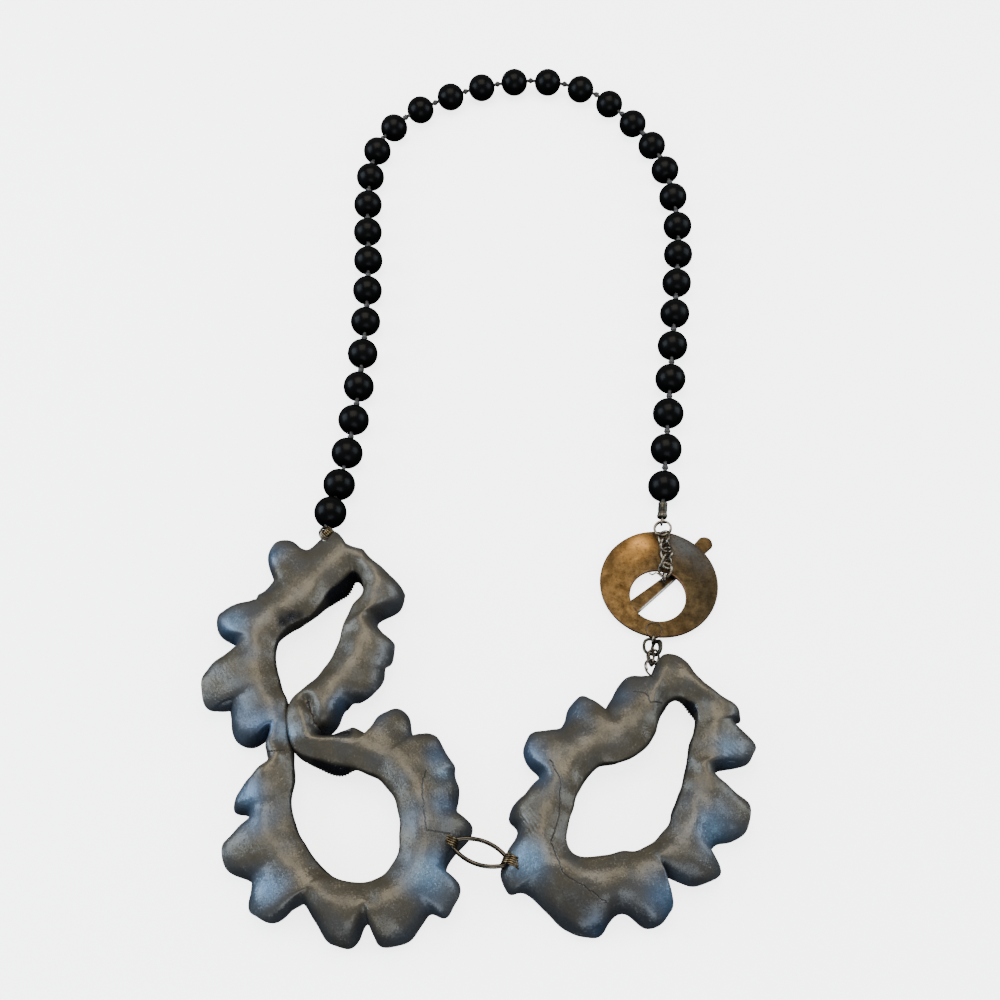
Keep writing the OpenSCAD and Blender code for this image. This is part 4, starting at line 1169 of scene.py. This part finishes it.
# %% Finish of the bronze
def bronze_finish(name, edge_colour):
    """Golden brown by the number 'gold', orange by 'flare', grey by 'steel', another colour by 'worn'."""
    finish, tree, shader = new_finish(name)
    place = object_place(tree)
    mottle = spread(tree, noise(tree, place, 330, 6, 0.75), 0.34, 0.66)
    brown = mix_colour(tree, mottle, (0.02, 0.014, 0.007, 1), (0.055, 0.039, 0.02, 1))
    golden = mix_colour(tree, mottle, (0.05, 0.027, 0.008, 1), (0.105, 0.06, 0.021, 1))
    # Golden by 'gold', partly painted light from the left; orange by 'flare', a painted highlight.
    colour = mix_colour(tree, kept(tree, "gold"), brown, golden)
    colour = mix_colour(tree, kept(tree, "flare"), colour, (0.5, 0.25, 0.07, 1))
    colour = mix_colour(tree, kept(tree, "steel"), colour, (0.075, 0.078, 0.08, 1))
    pits = spread(tree, noise(tree, place, 1300, 3), 0.54, 0.7, 0, 0.5)
    colour = mix_colour(tree, pits, colour, (0.02, 0.01, 0.004, 1))
    fill(tree, shader, {
        "Base Color": mix_colour(tree, kept(tree, "worn"), colour, edge_colour),
        "Metallic": 1, "Roughness": spread(tree, mottle, 0, 1, 0.55, 0.36),
        "Normal": bump(tree, mottle, 0.35, 0.0001),
    })
    return finish


bronze = bronze_finish("beaten_bronze", (0.14, 0.075, 0.05, 1))
filed = bronze_finish("filed_bronze", (0.5, 0.49, 0.46, 1))
# Spots on the disc: x, y, radius and strength of each.
bronze_spots = {
    # Gold is partly the bronze's own tint and partly painted light from the left; the flare is a painted
    # highlight.
    "gold": [(42, -56, 9, 0.8), (49, -45, 6, 0.9), (45, -68, 8, 0.5), (60, -74, 6, 0.3)],
    "steel": [(64, -45, 3.6, 0.85), (69, -50, 4, 0.35), (61.5, -41.5, 2.6, 0.5)],
    "flare": [(51, -43, 3.2, 0.75), (47, -47, 3.4, 0.25)],
}


def bronze_notes(piece, grid, worn):
    """Give a bronze piece its four numbers."""
    for name, spots in bronze_spots.items():
        note(piece, name, np.clip(patches(grid, spots), 0, 1))
    note(piece, "worn", worn)


disc = piece_from_grid("beaten_disc", disc_grid, bronze, "bronze", ["toggle_disc"], ring=True)
edge_wear = np.clip(1 - np.minimum(share, 1 - share) / 0.03, 0, 1)[::-1]
bronze_notes(disc, disc_grid, 0.7 * np.broadcast_to(edge_wear, off_centre.shape))
print("spots on the disc:", sum(map(len, bronze_spots.values())))

# %% [markdown]
# A half-round tab is soldered on the disc's lower edge, with an eye for the disc's ring. The tab is
# a low drum, so a tube along a short upright path makes it. Its heights have to rise at every
# step, because a tube needs a direction everywhere. A line of solder runs round its upper side.

# %% The tab and the eye of the disc
upright, east = np.array([0, 0, 1.0]), np.array([1.0, 0, 0])
tab_way, tab_distance = np.radians(-99), 16.0
tab_plan = disc_centre + tab_distance * np.array([np.cos(tab_way), np.sin(tab_way)])
tab_centre = np.array([*tab_plan, 0])
tab_z = np.array([1.3, 1.45, 2.5, 2.62, 2.655, 2.665, 2.67])
tab_r = np.array([2.1, 2.3, 2.3, 2.2, 2.05, 1.2, 0.3])
tab_grid = tube(tab_centre + tab_z[:, None] * upright, tab_r, 64, up=east)
tab = piece_from_grid("disc_tab", tab_grid, bronze, "bronze")
bronze_notes(tab, tab_grid, 0.7 * np.repeat(tab_r > 2.15, 64))
seam_radius = 2.36
seam_angle = np.radians(np.linspace(0, 180, 40))
seam = [seam_radius * np.cos(seam_angle), seam_radius * np.sin(seam_angle), 2.44 + 0.16 * np.sin(seam_angle)]
seam_grid = tube(tab_centre + np.stack(seam, -1), rounded_ends(40, 0.2), 10)
piece_from_grid("tab_solder_line", seam_grid, tip_steel, "bronze")
disc_eye = loop([52.5, -75.1, 1.8], tilt(-99, 0, 0) @ tilt(0, 0, 90), 3.0, 3.0, 0.35)
piece_from_grid("disc_eye", disc_eye, gunmetal, "gunmetal", ring=True)
print("tab centre:", tab_centre.round(1))

# %% [markdown]
# The bar is a flat strip under the disc, with round ends and a slim waist. Its outline is one
# function of the distance from its middle, and the hand that filed it left the lower edge nearly
# straight. Its section is a rectangle with soft corners, made from a circle whose sine and cosine
# are raised to a small power. The file also left that edge bright.

# %% The toggle bar
bar_place, bar_heading = np.array([57.6, -54.7, 0]), 43
bar_half, bar_end, bar_slim, bar_thick, bar_around = 20, 2.5, 0.6, 1.0, 28
straight = bar_half - bar_end
rounded = np.linspace(straight, bar_half, 16) - 0.004
bar_x = np.concatenate([-rounded[::-1], np.linspace(0.5 - straight, straight - 0.5, 90), rounded])
slope = np.sqrt((bar_x - 1) ** 2 + 7) / straight
past = np.clip(np.abs(bar_x) - straight, 0, bar_end)
round_end = np.sqrt(bar_end**2 - past**2)
bar_upper = np.minimum(bar_slim + (bar_end - bar_slim) * np.minimum(slope, 1), round_end)
bar_lower = np.minimum(0.93 * bar_end, round_end)
corner = np.linspace(0, 2 * np.pi, bar_around, endpoint=False)
soft = lambda wave, power: np.sign(wave) * np.abs(wave) ** power
across, height = soft(np.cos(corner), 0.25), soft(np.sin(corner), 0.4)
bar_width = np.where(across > 0, bar_upper[:, None], bar_lower[:, None])
whole = np.ones_like(bar_width)
bar_local = np.stack([bar_x[:, None] * whole, bar_width * across, bar_thick / 2 * (1 + height) * whole], -1)
bar_grid = bar_place + bar_local @ tilt(bar_heading, 0, 0).T
bar = piece_from_grid("toggle_bar_strip", bar_grid, filed, "bronze", ["toggle_bar"])
bright_length = np.clip((12 - np.abs(bar_x[:, None] + 2)) / 2, 0, 1)
note(bar, "gold", 0.3 * whole)
note(bar, "worn", np.clip((-across - 0.8) / 0.08, 0, 1) * bright_length)
post_place = np.array([56.95, -55.45, 0])
post_z = np.array([0.5, 0.9, 1.3, 1.7, 2.05, 2.25])
post_r = np.array([0.9, 0.75, 0.7, 0.7, 0.7, 0.4])
post_grid = tube(post_place + post_z[:, None] * upright, post_r, 24, up=east)
piece_from_grid("bar_post", post_grid, gunmetal, "bronze")
bar_eye = loop(post_place + 3.35 * upright, tilt(0, 90, 0), 3.4, 3.4, 0.4)
piece_from_grid("bar_eye", bar_eye, gunmetal, "bronze", ring=True)
print("bar grid:", bar_grid.shape)
